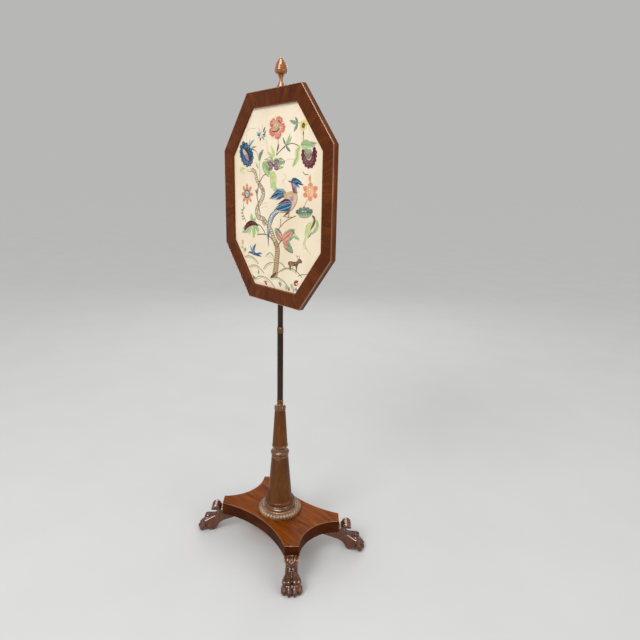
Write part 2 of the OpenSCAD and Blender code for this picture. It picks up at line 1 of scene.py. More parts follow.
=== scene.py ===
"""Looks of a pole screen: an octagonal embroidered screen on a turned pole, over a hollow-sided
platform with four carved paw feet. Metres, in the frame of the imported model: the origin is on the
floor under the pole, +Z is up and the embroidered face looks towards -Y."""

import math
import random

import bmesh
import bpy
import numpy as np
from mathutils import Matrix, Vector


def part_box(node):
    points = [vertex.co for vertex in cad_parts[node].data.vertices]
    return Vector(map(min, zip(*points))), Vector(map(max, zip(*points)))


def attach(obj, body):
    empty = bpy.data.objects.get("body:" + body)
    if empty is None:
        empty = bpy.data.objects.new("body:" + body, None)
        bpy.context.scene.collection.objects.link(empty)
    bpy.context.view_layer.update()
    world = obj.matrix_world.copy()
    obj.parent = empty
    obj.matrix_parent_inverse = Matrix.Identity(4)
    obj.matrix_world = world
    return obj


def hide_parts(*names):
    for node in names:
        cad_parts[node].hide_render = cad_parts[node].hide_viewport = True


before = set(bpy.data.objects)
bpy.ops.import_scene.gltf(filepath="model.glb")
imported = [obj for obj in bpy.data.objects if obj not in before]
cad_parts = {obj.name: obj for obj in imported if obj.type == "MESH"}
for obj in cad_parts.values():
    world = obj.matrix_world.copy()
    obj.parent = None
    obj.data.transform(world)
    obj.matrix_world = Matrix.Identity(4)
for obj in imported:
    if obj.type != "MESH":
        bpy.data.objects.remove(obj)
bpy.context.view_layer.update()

MM = 0.001
IMAGE_SIDE = 640
FOCAL_PX = 530.65
SENSOR_MM = 36.0
CAMERA_AT = (1.2599, -0.9377, 1.1519)
CAMERA_HEADING = 138.935
CAMERA_PITCH = -14.136
CAMERA_ROLL = 1.24
BASE_TURN = math.radians(5)

scene = bpy.context.scene
scene.view_settings.view_transform = "Standard"


# Camera

def make_camera():
    data = bpy.data.cameras.new("camera")
    data.sensor_width = SENSOR_MM
    data.lens = FOCAL_PX * SENSOR_MM / IMAGE_SIDE
    data.clip_start, data.clip_end = 0.05, 50.0
    camera = bpy.data.objects.new("camera", data)
    scene.collection.objects.link(camera)
    heading, pitch, roll = (math.radians(a) for a in (CAMERA_HEADING, CAMERA_PITCH, CAMERA_ROLL))
    ahead = Vector((math.cos(heading) * math.cos(pitch), math.sin(heading) * math.cos(pitch), math.sin(pitch)))
    level = ahead.cross(Vector((0, 0, 1))).normalized()
    right = level * math.cos(roll) + level.cross(ahead) * math.sin(roll)
    up = right.cross(ahead)
    camera.matrix_world = Matrix.Translation(CAMERA_AT) @ Matrix((right, up, -ahead)).transposed().to_4x4()
    scene.camera = camera
    return camera


make_camera()


# Materials: small helpers for node trees

def new_material(name):
    material = bpy.data.materials.new(name)
    material.use_nodes = True
    tree = material.node_tree
    tree.nodes.clear()
    output = tree.nodes.new("ShaderNodeOutputMaterial")
    shader = tree.nodes.new("ShaderNodeBsdfPrincipled")
    tree.links.new(shader.outputs[0], output.inputs["Surface"])
    return material, tree, shader


def node(tree, kind, inputs=(), **settings):
    """A new node with its settings, and its inputs linked or set by name or place."""
    made = tree.nodes.new(kind)
    for key, value in settings.items():
        setattr(made, key, value)
    for key, value in dict(inputs).items():
        if isinstance(value, bpy.types.NodeSocket):
            tree.links.new(value, made.inputs[key])
        else:
            made.inputs[key].default_value = value
    return made


def ramp(tree, factor, stops, smooth=False):
    """A colour ramp over factor: stops are (place, colour) with colours as (r, g, b)."""
    made = node(tree, "ShaderNodeValToRGB", {"Fac": factor})
    made.color_ramp.interpolation = "EASE" if smooth else "LINEAR"
    elements = made.color_ramp.elements
    while len(elements) < len(stops):
        elements.new(0.5)
    for element, (place, colour) in zip(elements, stops):
        element.position = place
        element.color = (*colour, 1.0)
    return made.outputs["Color"]


def noise(tree, vector, scale, detail=4.0, rough=0.55, distortion=0.0):
    made = node(tree, "ShaderNodeTexNoise",
                {"Vector": vector, "Scale": scale, "Detail": detail, "Roughness": rough,
                 "Distortion": distortion})
    return made.outputs["Fac"]


def spread(tree, value, low, high, to_low=0.0, to_high=1.0):
    """Maps a value from one range to another, clamped."""
    made = node(tree, "ShaderNodeMapRange",
                {"Value": value, "From Min": low, "From Max": high, "To Min": to_low, "To Max": to_high})
    return made.outputs["Result"]


def mix(tree, factor, a, b, blend="MIX"):
    made = tree.nodes.new("ShaderNodeMix")
    made.data_type = "RGBA"
    made.blend_type = blend
    for socket, value in ((made.inputs[0], factor), (made.inputs[6], a), (made.inputs[7], b)):
        if isinstance(value, bpy.types.NodeSocket):
            tree.links.new(value, socket)
        elif isinstance(value, tuple):
            socket.default_value = (*value, 1.0)
        else:
            socket.default_value = value
    return made.outputs[2]


def math_node(tree, operation, a, b=0.0):
    return node(tree, "ShaderNodeMath", {0: a, 1: b}, operation=operation).outputs[0]


def linear(r, g, b):
    """A colour from 0-255 values as they show on a screen."""
    return tuple(((c / 255 + 0.055) / 1.055) ** 2.4 if c > 10 else c / 255 / 12.92 for c in (r, g, b))


# Woods

def wood(name, dark, mid, light, turn=(0, 0, 0), figure=28.0, streak=330.0, stretch=0.05, contrast=0.5,
         rough=(0.28, 0.42), coat=0.1, shine=0.25, bump=0.12, seed=0.0, veins=0.0, place=None, wear_shade_highlight=None):
    """Polished wood with fibres along local X after a turn in degrees. figure is the scale of the
    broad patches, streak of the fibres, contrast how far the colours spread, veins how strong the
    dark streaks are, and shine how much light the bare surface mirrors. place is a vector attribute that gives grain
    coordinates where a piece has its own, and the float attribute named in the last argument darkens the colour at 0,
    painted shade in hollows, and pales it at 1 on edges, part rubbed wear and part painted highlight."""
    material, tree, shader = new_material(name)
    if place:
        start = node(tree, "ShaderNodeAttribute", attribute_name=place).outputs["Vector"]
    else:
        start = node(tree, "ShaderNodeTexCoord").outputs["Object"]
    turned = node(tree, "ShaderNodeMapping",
                  {"Vector": start, "Rotation": tuple(math.radians(a) for a in turn),
                   "Location": (seed, seed * 0.7, seed * 1.3)}).outputs[0]
    drift = node(tree, "ShaderNodeTexNoise", {"Vector": turned, "Scale": 9.0, "Detail": 1.0})
    bent = node(tree, "ShaderNodeVectorMath",
                {0: drift.outputs["Color"], 1: (0.014,) * 3, 2: turned}, operation="MULTIPLY_ADD")
    along = node(tree, "ShaderNodeMapping", {"Vector": bent.outputs[0], "Scale": (stretch, 1, 1)}).outputs[0]
    broad = node(tree, "ShaderNodeMapping", {"Vector": bent.outputs[0], "Scale": (0.3, 1, 1)}).outputs[0]
    patches = noise(tree, broad, figure, 3.0)
    fibres = noise(tree, along, streak, 5.0, 0.62)
    fine = noise(tree, along, streak * 4.5, 2.0)
    pores = spread(tree, noise(tree, along, streak * 7.0, 1.0), 0.60, 0.72)
    body = math_node(tree, "ADD", math_node(tree, "MULTIPLY", patches, 0.45),
                     math_node(tree, "MULTIPLY", fibres, 0.55))
    low, high = 0.5 - 0.22 / contrast * 0.5, 0.5 + 0.22 / contrast * 0.5
    colour = ramp(tree, spread(tree, body, low, high), [(0.0, dark), (0.5, mid), (1.0, light)])
    colour = mix(tree, math_node(tree, "MULTIPLY", pores, 0.45), colour, tuple(c * 0.45 for c in dark))
    if veins:
        swirl = node(tree, "ShaderNodeMapping", {"Vector": bent.outputs[0], "Scale": (0.11, 1, 1)}).outputs[0]
        marks = spread(tree, noise(tree, swirl, 62.0, 3.0, 0.5, 0.6), 0.54, 0.68, 0.0, veins)
        colour = mix(tree, marks, colour, tuple(c * 0.4 for c in dark))
    # Painted shade and highlight, with some rubbed wear: low attribute values darken the colour towards a deep shade of
    # the dark tone, high ones pale it towards a brighter light tone.
    if wear_shade_highlight:
        wear_and_shading = node(tree, "ShaderNodeAttribute", attribute_name=wear_shade_highlight).outputs["Fac"]
        colour = mix(tree, spread(tree, wear_and_shading, 0.5, 0.0, 0.0, 0.85), colour, tuple(c * 0.22 for c in dark))
        colour = mix(tree, spread(tree, wear_and_shading, 0.55, 1.0, 0.0, 0.5), colour, tuple(c * 1.5 for c in light))
    tree.links.new(colour, shader.inputs["Base Color"])
    dull = math_node(tree, "ADD", math_node(tree, "MULTIPLY", pores, 0.2), patches)
    tree.links.new(spread(tree, dull, 0.3, 0.8, *rough), shader.inputs["Roughness"])
    height = math_node(tree, "SUBTRACT", math_node(tree, "MULTIPLY", fine, 0.5), pores)
    relief = node(tree, "ShaderNodeBump", {"Height": height, "Strength": bump, "Distance": 0.0004})
    tree.links.new(relief.outputs[0], shader.inputs["Normal"])
    shader.inputs["Coat Weight"].default_value = coat
    shader.inputs["Coat Roughness"].default_value = 0.2
    shader.inputs["Specular IOR Level"].default_value = shine
    shader.inputs["Specular Tint"].default_value = (1.0, 0.8, 0.64, 1.0)
    return material


# Shapes: sampled distance fields and their skins, in millimetres

def smooth_min(a, b, k):
    """The lower of two distances, with the crease between them filled over a width k."""
    h = np.maximum(k - np.abs(a - b), 0) / k
    return np.minimum(a, b) - h * h * k / 4


def smooth_max(a, b, k):
    return -smooth_min(-a, -b, k)


def rod(p, a, b, ra, rb):
    """Distance to a rod from a to b whose radius goes from ra to rb."""
    a, b = np.array(a, float), np.array(b, float)
    along = b - a
    h = np.clip(sum((p[i] - a[i]) * along[i] for i in range(3)) / (along @ along), 0, 1)
    gap = np.sqrt(sum((p[i] - a[i] - h * along[i]) ** 2 for i in range(3)))
    return gap - (ra + h * (rb - ra))


def polygon_distance(x, y, points):
    """Signed distance in a plane to a closed outline, below zero inside."""
    points = np.array(points, float)
    nearest = np.full(x.shape, 1e9)
    inside = np.zeros(x.shape, bool)
    for (ax, ay), (bx, by) in zip(points, np.roll(points, -1, axis=0)):
        ex, ey = bx - ax, by - ay
        h = np.clip(((x - ax) * ex + (y - ay) * ey) / (ex * ex + ey * ey), 0, 1)
        nearest = np.minimum(nearest, np.hypot(x - ax - h * ex, y - ay - h * ey))
        if ay != by:
            crosses = ((ay > y) != (by > y)) & (x < ex * (y - ay) / ey + ax)
            inside ^= crosses
    return np.where(inside, -nearest, nearest)


def sample(field, origin, step, points):
    """The field between its samples, at points."""
    at = np.clip((points - origin) / step, 0, np.array(field.shape) - 1.001)
    low = at.astype(int)
    part = at - low
    total = 0
    for dx in (0, 1):
        for dy in (0, 1):
            for dz in (0, 1):
                share = 1
                for axis, d in enumerate((dx, dy, dz)):
                    share = share * (part[:, axis] if d else 1 - part[:, axis])
                total = total + share * field[low[:, 0] + dx, low[:, 1] + dy, low[:, 2] + dz]
    return total


def skin(field, origin, step):
    """The surface where the field is zero: one point in each cell that it crosses, and quads."""
    cells = np.array(field.shape) - 1
    inside = field < 0
    total = np.zeros((*cells, 3))
    count = np.zeros(cells)
    base = np.stack(np.meshgrid(*(np.arange(n) for n in cells), indexing="ij"), axis=-1).astype(float)
    for axis in range(3):
        u, v = [a for a in range(3) if a != axis]
        for du in (0, 1):
            for dv in (0, 1):
                low = [slice(0, n) for n in cells]
                low[u] = slice(du, cells[u] + du)
                low[v] = slice(dv, cells[v] + dv)
                high = list(low)
                high[axis] = slice(1, cells[axis] + 1)
                fa, fb = field[tuple(low)], field[tuple(high)]
                hit = inside[tuple(low)] != inside[tuple(high)]
                t = np.where(hit, fa / np.where(hit, fa - fb, 1), 0)
                point = base.copy()
                point[..., u] += du
                point[..., v] += dv
                point[..., axis] += t
                total += point * hit[..., None]
                count += hit
    used = count > 0
    number = np.full(cells, -1)
    number[used] = np.arange(used.sum())
    points = origin + step * total[used] / count[used][:, None]
    quads = []
    for axis in range(3):
        u, v = (axis + 1) % 3, (axis + 2) % 3
        low = [slice(1, n) for n in cells]
        low[axis] = slice(0, cells[axis])
        high = list(low)
        high[axis] = slice(1, cells[axis] + 1)
        leaves, enters = (inside[tuple(low)] & ~inside[tuple(high)]), (~inside[tuple(low)] & inside[tuple(high)])
        for hit, flip in ((leaves, False), (enters, True)):
            at = np.argwhere(hit)
            at[:, u] += 1
            at[:, v] += 1
            ring = []
            for du, dv in ((-1, -1), (0, -1), (0, 0), (-1, 0)):
                cell = at.copy()
                cell[:, u] += du
                cell[:, v] += dv
                ring.append(number[cell[:, 0], cell[:, 1], cell[:, 2]])
            quads.append(np.stack(ring[::-1] if flip else ring, axis=1))
    return points, np.concatenate(quads)


def slope(field, origin, step, points, reach):
    """Unit vector in which the field grows, at points."""
    grown = np.stack([sample(field, origin, step, points + reach * np.eye(3)[axis])
                      - sample(field, origin, step, points - reach * np.eye(3)[axis]) for axis in range(3)], axis=1)
    return grown / np.maximum(np.linalg.norm(grown, axis=1), 1e-9)[:, None]


# Pieces

def make_piece(name, points, faces, material, body, replaced=(), smooth=True,
               facing=True):
    """A mesh piece from points in millimetres. smooth is one flag, or one for each face, and facing
    turns all faces outward."""
    data = bpy.data.meshes.new(name)
    data.from_pydata([tuple(p) for p in np.asarray(points, float) * MM], [], [list(map(int, f)) for f in faces])
    data.polygons.foreach_set("use_smooth", np.broadcast_to(np.asarray(smooth, bool), len(data.polygons)))
    data.materials.append(material)
    if facing:
        shell = bmesh.new()
        shell.from_mesh(data)
        bmesh.ops.recalc_face_normals(shell, faces=shell.faces)
        for edge in shell.edges:
            edge.smooth = all(face.smooth for face in edge.link_faces)
        shell.to_mesh(data)
        shell.free()
    data.update()
    piece = bpy.data.objects.new(name, data)
    scene.collection.objects.link(piece)
    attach(piece, body)
    if replaced:
        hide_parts(*replaced)
    return piece


def paint(piece, name, values):
    """A value, vector or colour at each point, for the materials."""
    values = np.asarray(values, np.float32)
    kind, field = {1: ("FLOAT", "value"), 2: ("FLOAT_VECTOR", "vector")}[values.ndim]
    if values.ndim == 2 and values.shape[1] == 4:
        kind, field = "FLOAT_COLOR", "color"
    attribute = piece.data.attributes.new(name, kind, "POINT")
    attribute.data.foreach_set(field, values.ravel())


def top_of(name):
    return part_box(name)[1][2] / MM


def bottom_of(name):
    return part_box(name)[0][2] / MM


PLATFORM_UNDER = bottom_of("platform_core")
PLATFORM_TOP = top_of("platform_top_veneer")
CORNER_AT = (171.5, 104.0)
CORNER_FLAT = 43.0


def base_place(points, corner=None):
    """Points of the base, or of one corner of it with X pointing outward, in the frame's millimetres."""
    points = np.asarray(points, float).copy()
    if corner:
        way = math.atan2(corner[1], corner[0])
        c, s = math.cos(way), math.sin(way)
        points[:, :2] = points[:, :2] @ np.array([[c, s], [-s, c]])
        points[:, 0] += corner[0] * CORNER_AT[0]
        points[:, 1] += corner[1] * CORNER_AT[1]
    c, s = math.cos(BASE_TURN), math.sin(BASE_TURN)
    points[:, :2] = points[:, :2] @ np.array([[c, s], [-s, c]])
    return points


# Carved feet

FOOT_STEP = 1.0
FOOT_LOW = (-54.0, -40.0, -3.0)
FOOT_HIGH = (93.0, 40.0, 99.0)
FOOT_TURN = math.radians(3.5)
NECK = 23.0
SCROLL_AT = (26.4, PLATFORM_UNDER + 9.6)
SCROLL_R = 15.2
SCROLL_HALF = 22.4
TONGUE_Z = PLATFORM_UNDER + 21.0
TOES = ((8.8, 8.2, 80.0, 8.5), (21.0, 23.4, 72.0, 8.6))


def toe_field(p, knuckle, pad, reach, r):
    """One toe: a ridge from the ankle, a round knuckle, a narrow joint, a tall pad and a blunt claw."""
    toe = rod(p, (25, knuckle * 0.4, 49), (56, knuckle, 35), 4.0, 6.3)
    toe = smooth_min(toe, rod(p, (59, knuckle, 34), (63, knuckle, 32.5), 7.4, 7.6), 1.6)
    toe = smooth_min(toe, rod(p, (64, knuckle, 25), (reach - 8, pad, 18), 6.0, 6.2), 2.4)
    toe = smooth_min(toe, rod(p, (reach - 6.5, pad, 16.5), (reach - 1.0, pad, 9.5), r - 0.4, r), 1.8)
    return smooth_min(toe, rod(p, (reach + 1, pad, 6), (reach + 4, pad, 3.4), 3.8, 3.0), 2.4)


def tongue_inset(s, t, z):
    """How far inside the outline of the scroll's tongue a point lies."""
    low = np.clip(TONGUE_Z - z, 0, None) / 22.0
    face = (1 - (np.abs(t / SCROLL_HALF) ** 1.4 + low ** 1.4) ** (1 / 1.4)) * 19
    return np.where(s > NECK - 6, face,
                    SCROLL_HALF - 4.5 * np.clip((TONGUE_Z - 2 - z) / 9, 0, 1) - np.abs(t))


def scroll_field(s, t, z):
    """The scroll over the paw: a roll whose face is a tongue with two nested ridges, and a valley behind it."""
    under = PLATFORM_UNDER
    mid_s, mid_z = SCROLL_AT
    arc = [(mid_s + SCROLL_R * math.cos(a), mid_z + SCROLL_R * math.sin(a))
           for a in np.radians(np.arange(154, -45, -12.0))]
    lip = [(34.8, under - 3.2), (30, under - 5)]
    profile = polygon_distance(s[:, :1, :], z[:, :1, :],
                               [(-2, under + 10), (8, under + 11)] + arc + lip
                               + [(NECK - 4, under - 5), (-2, under - 5)])
    inward = tongue_inset(s, t, z)
    scroll = smooth_max(profile, -inward, 2.6)
    shown = np.clip((s - 1.5) / 2, 0, 1) * (profile > -6)
    groove = 3.0 * np.exp(-((inward - 5.8) / 1.9) ** 2)
    middle = (2.2 + 1.1 * np.cos(t * 2 * math.pi / 5.8)) * np.clip((inward - 10.6) / 2.4, 0, 1)
    scroll = scroll + shown * (groove + middle)
    away = np.hypot(s - mid_s, z - mid_z)
    turn = np.arctan2(z - mid_z, s - mid_s) / (2 * math.pi) % 1.0
    spiral = np.minimum(np.abs(away - 2.6 - 5.4 * turn), np.abs(away - 8.0 - 5.4 * turn))
    return scroll + 1.4 * np.exp(-(spiral / 1.2) ** 2) * (np.abs(t) > SCROLL_HALF - 6) * (away < 10.0)


def foot_field(s, t, z):
    """Distance field of one paw foot: s outward from the platform's corner, t sideways, z up."""
    under = PLATFORM_UNDER
    plane = polygon_distance(s[:, :1, :], z[:, :1, :], [
        (-52, under), (-52, under - 13), (-26, under - 22), (0, under - 32), (12, 26), (20, 15), (27, 5), (33, -4),
        (52, -4), (55, 26), (42, 39), (31, 46.5), (25.5, 52), (22.5, 57), (20, under - 2), (12, under + 8),
        (-2, under + 8), (-2, under)])
    leg = smooth_max(plane, np.abs(t) - 19.4 + 2.0 * np.exp(-((z - 52) / 8.0) ** 2) * np.clip(s / 12, 0, 1), 8.0)
    c, w = math.cos(FOOT_TURN), math.sin(FOOT_TURN)
    p = (NECK + (s - NECK) * c + t * w, -(s - NECK) * w + t * c, z)
    toes = None
    for knuckle, pad, reach, r in TOES:
        for side in (-1, 1):
            toe = toe_field(p, side * knuckle, side * pad, reach, r)
            toes = toe if toes is None else smooth_min(toes, toe, 1.2)
    pad = smooth_min(rod(p, (38, 0, 12), (56, 0, 9), 18.0, 17.5), rod(p, (30, 0, 28), (50, 0, 23), 13.0, 12.5), 6.0)
    for side in (-1, 1):
        pad = smooth_min(pad, rod(p, (44, side * 15, 13), (69, side * 15.5, 10.5), 9.0, 8.0), 3.0)
        pad = smooth_min(pad, rod(p, (48, side * 13, 28), (65, side * 15, 20), 8.0, 7.5), 3.0)
    body = smooth_min(smooth_min(leg, pad, 6.0), toes, 2.0)
    for side in (-1, 1):
        tendon = rod(p, (21, side * 3.5, 59), (31, side * 4.6, 49.5), 3.6, 4.2)
        body = smooth_min(body, tendon, 1.2)
    body = smooth_min(body, scroll_field(s, t, z), 1.6)
    body = np.maximum(body, -np.maximum(s, under - z))
    body = np.maximum(body, -np.maximum(np.hypot(s + 15, t) - 5.1, under - 18 - z))
    body = np.maximum(body, -(np.hypot(s + 39, t) - 2.5))
    body = np.maximum(body, -np.maximum(np.hypot(s + 39, t) - 5.9, z - under + 16.3))
    return np.maximum(body, -z)


def carve_foot():
    """Points, faces and painted shade, highlight and wear values of one foot in its own place."""
    low, high = np.array(FOOT_LOW), np.array(FOOT_HIGH)
    sizes = [int(n) for n in np.ceil((high - low) / FOOT_STEP)]
    origin = low + 0.37 * FOOT_STEP
    axes = [origin[i] + FOOT_STEP * np.arange(sizes[i]) for i in range(3)]
    s, t, z = np.meshgrid(*axes, indexing="ij")
    field = foot_field(s, t, z)
    points, faces = skin(field, origin, FOOT_STEP)
    out = slope(field, origin, FOOT_STEP, points, 0.8)
    # Values that paint light into the colour: hollows (little room within 3 mm) and sheltered places (little room
    # within 10 mm) get painted shade; convex ridges are paled, part rubbed wear and part painted highlight; the
    # tongue's two rims on the front of the roll are paled as painted highlight.
    opening = np.clip(sample(field, origin, FOOT_STEP, points + 3.0 * out) / 3.0, 0, 1)
    ridge = np.clip(-sample(field, origin, FOOT_STEP, points - 2.4 * out) / 2.4, 0, 1)
    shelter = np.clip(sample(field, origin, FOOT_STEP, points + 10.0 * out) / 10.0, 0, 1)
    inset = tongue_inset(*points.T)
    rim_highlights = np.exp(-((inset - 1.8) / 1.5) ** 2) + np.exp(-((inset - 9.0) / 1.5) ** 2)
    ridge = ridge - 0.8 * rim_highlights * (points[:, 2] > PLATFORM_UNDER - 4) * (points[:, 0] > SCROLL_AT[0] + 5)
    wear_shade_highlight = np.clip(0.5 + 0.9 * (1 - ridge) - 0.7 * (1 - opening) - 0.6 * (1 - shelter), 0, 1)
    points[np.abs(points[:, 2]) < 0.35, 2] = 0
    seat = (np.abs(points[:, 2] - PLATFORM_UNDER) < 0.35) & (points[:, 0] < 0)
    points[seat, 2] = PLATFORM_UNDER
    back = (np.abs(points[:, 0]) < 0.35) & (points[:, 2] > PLATFORM_UNDER)
    points[back, 0] = 0
    return points, faces, wear_shade_highlight


FOOT = carve_foot()


def make_foot(name, corner, material):
    points, faces, wear_shade_highlight = FOOT
    points = points.copy()
    if corner[0] * corner[1] > 0:
        points[:, 1] *= -1
        faces = faces[:, ::-1]
    piece = make_piece(name + "_carved", base_place(points, corner), faces, material, "stand", [name])
    paint(piece, "wear_shade_highlight", wear_shade_highlight)


# Carved ring at the column's foot

RING_R = 71.6
RING_TOP_R = 55.0
RING_HOLE_R = 40.1
RING_LEAVES = 38


def make_ring(material):
    low, high = bottom_of("base_ring"), top_of("base_ring")
    turns, rows = RING_LEAVES * 16, 26
    profile = []
    for row in range(rows):
        v = row / (rows - 1)
        a = math.radians(12 + 78 * v)
        profile.append((60.0 + 11.6 * math.cos(a), low + 3.6 + 11.6 * math.sin(a), math.cos(a), math.sin(a), v))
    lines = [[(RING_HOLE_R, low), (RING_R - 1.2, low), (RING_R - 0.3, low + 1.2), (RING_R, low + 2.2)],
             [(RING_TOP_R, high - 1.6), (RING_TOP_R - 0.8, high), (RING_HOLE_R, high)]]
    points, wear_shade_highlight = [], []
    for i in range(turns):
        angle = 2 * math.pi * i / turns
        u = 2 * (i / 16 % 1) - 1
        column = [(r, z, 0.45) for r, z in lines[0]]
        for r, z, nr, nz, v in profile:
            half = math.sqrt(max(1e-4, 1 - (max(0.28 - v, 0) / 0.28) ** 2)) * (0.93 - 0.12 * v)
            inside = max(0.0, 1 - (u / half) ** 2) if abs(u) < half else 0.0
            rise = 1.5 * math.sqrt(inside) - 0.55 * math.exp(-(u / 0.13) ** 2) * (inside > 0) * min(1, v * 5)
            fade = min(1.0, (1 - v) * 7)
            lift = fade * (rise - 1.0)
            # The ground between the leaves is darkened as painted shade; the raised leaves are paled, part rubbed wear
            # and part painted highlight.
            column.append((r + lift * nr, z + lift * nz, 0.22 + 0.62 * min(1.0, max(0.0, rise) / 1.5) * fade + 0.2 * (1 - fade)))
        column += [(r, z, 0.6) for r, z in lines[1]]
        points += [(r * math.cos(angle), r * math.sin(angle), z) for r, z, w in column]
        wear_shade_highlight += [w for r, z, w in column]
    n = len(column)
    faces = [(i * n + k, (i + 1) % turns * n + k, (i + 1) % turns * n + (k + 1) % n, i * n + (k + 1) % n)
             for i in range(turns) for k in range(n)]
    sharp = {0, n - 2, n - 1}
    piece = make_piece("base_ring_carved", points, faces, material, "stand", ["base_ring"],
                       smooth=[k not in sharp for i in range(turns) for k in range(n)])
    paint(piece, "wear_shade_highlight", wear_shade_highlight)


# Veneered platform top with a glossy arris, paler as a painted highlight

WAIST = (300.0, 168.0)
TENON_R = 19.1


def platform_outline(steps=30):
    """Outline of the platform, anticlockwise from its right corner of the near long side."""
    a, b = CORNER_AT
    c = CORNER_FLAT / 2 / math.sqrt(2)

    def hollow(half, edge, waist):
        sag = edge - waist / 2
        r = (half * half + sag * sag) / (2 * sag)
        reach = math.asin(half / r)
        return [(r * math.sin(reach * (2 * k / steps - 1)), waist / 2 + r - r * math.cos(reach * (2 * k / steps - 1)))
                for k in range(steps + 1)]

    long_side, short_side = hollow(a - c, b + c, WAIST[1]), hollow(b - c, a + c, WAIST[0])
    outline = [(y, x) for x, y in short_side]
    outline += [(-x, y) for x, y in long_side]
    outline += [(-y, -x) for x, y in short_side]
    outline += [(x, -y) for x, y in long_side]
    return np.array(outline)


def make_platform_top(material, arris):
    """The figured veneer with its hole for the tenon, and a glossy arris in a paler wood as a painted highlight."""
    low, high = bottom_of("platform_top_veneer"), PLATFORM_TOP
    edge = platform_outline()
    away = np.linalg.norm(edge, axis=1)[:, None]
    unit = edge / away
    # Per row: the side grows darker towards its lower edge, and the top is a little paler beside the arris.
    rows = [(edge, low, 0.4), (edge, high - 1.3, 0.6), (edge - unit * 0.2, high - 0.6, 1.0),
            (edge - unit * 0.6, high - 0.2, 1.0), (edge - unit * 1.3, high, 0.6)]
    rows += [(unit * (TENON_R + (away - 1.3 - TENON_R) * f), high, 0.5) for f in (0.75, 0.5, 0.25)]
    rows += [(unit * TENON_R, high, 0.5), (unit * TENON_R, low, 0.5)]
    n = len(edge)
    points = np.concatenate([np.column_stack([p, np.full(n, z)]) for p, z, w in rows])
    wear_shade_highlight = np.concatenate([np.full(n, w) for p, z, w in rows])
    count = len(rows)
    faces = [(r * n + i, r * n + (i + 1) % n, (r + 1) % count * n + (i + 1) % n, (r + 1) % count * n + i)
             for r in range(count) for i in range(n)]
    flags = [r in (1, 2, 3) for r in range(count) for i in range(n)]
    piece = make_piece("platform_top_veneer_highlit_arris", base_place(points), faces, material, "stand",
                       ["platform_top_veneer"], smooth=flags)
    paint(piece, "wear_shade_highlight", wear_shade_highlight)
    piece.data.materials.append(arris)
    for face in piece.data.polygons:
        face.material_index = int(face.use_smooth)


# Screen: everything is drawn on the frame's octagon

FRAME_SIZE = (511.0, 596.0)
FRAME_CUT = (130.0, 155.0)
RAIL_W = 43.0
BEAD_W = 2.4
PANEL_IN = 37.9
FRAME_Z = (top_of("outer_bead") + bottom_of("outer_bead")) / 2


def front_of(name):
    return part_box(name)[0][1] / MM


def back_of(name):
    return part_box(name)[1][1] / MM


def octagon(d):
    """Corners of the frame's octagon moved inward by d, anticlockwise from the top left."""
    cut_x, cut_z = FRAME_CUT
    slant = math.hypot(cut_x, cut_z)
    half_x, half_z = FRAME_SIZE[0] / 2 - d, FRAME_SIZE[1] / 2 - d
    reach = (cut_z * FRAME_SIZE[0] / 2 + cut_x * (FRAME_SIZE[1] / 2 - cut_z)) / slant - d
    x = (reach * slant - cut_x * half_z) / cut_z
    z = (reach * slant - cut_z * half_x) / cut_x
    return np.array([(-x, half_z), (-half_x, z), (-half_x, -z), (-x, -half_z),
                     (x, -half_z), (half_x, -z), (half_x, z), (x, half_z)])


def on_member(i, d, share):
    """A place on member i, d inward from the frame's edge, at a share of its length."""
    corners = octagon(d)
    return corners[i] + (corners[(i + 1) % 8] - corners[i]) * share


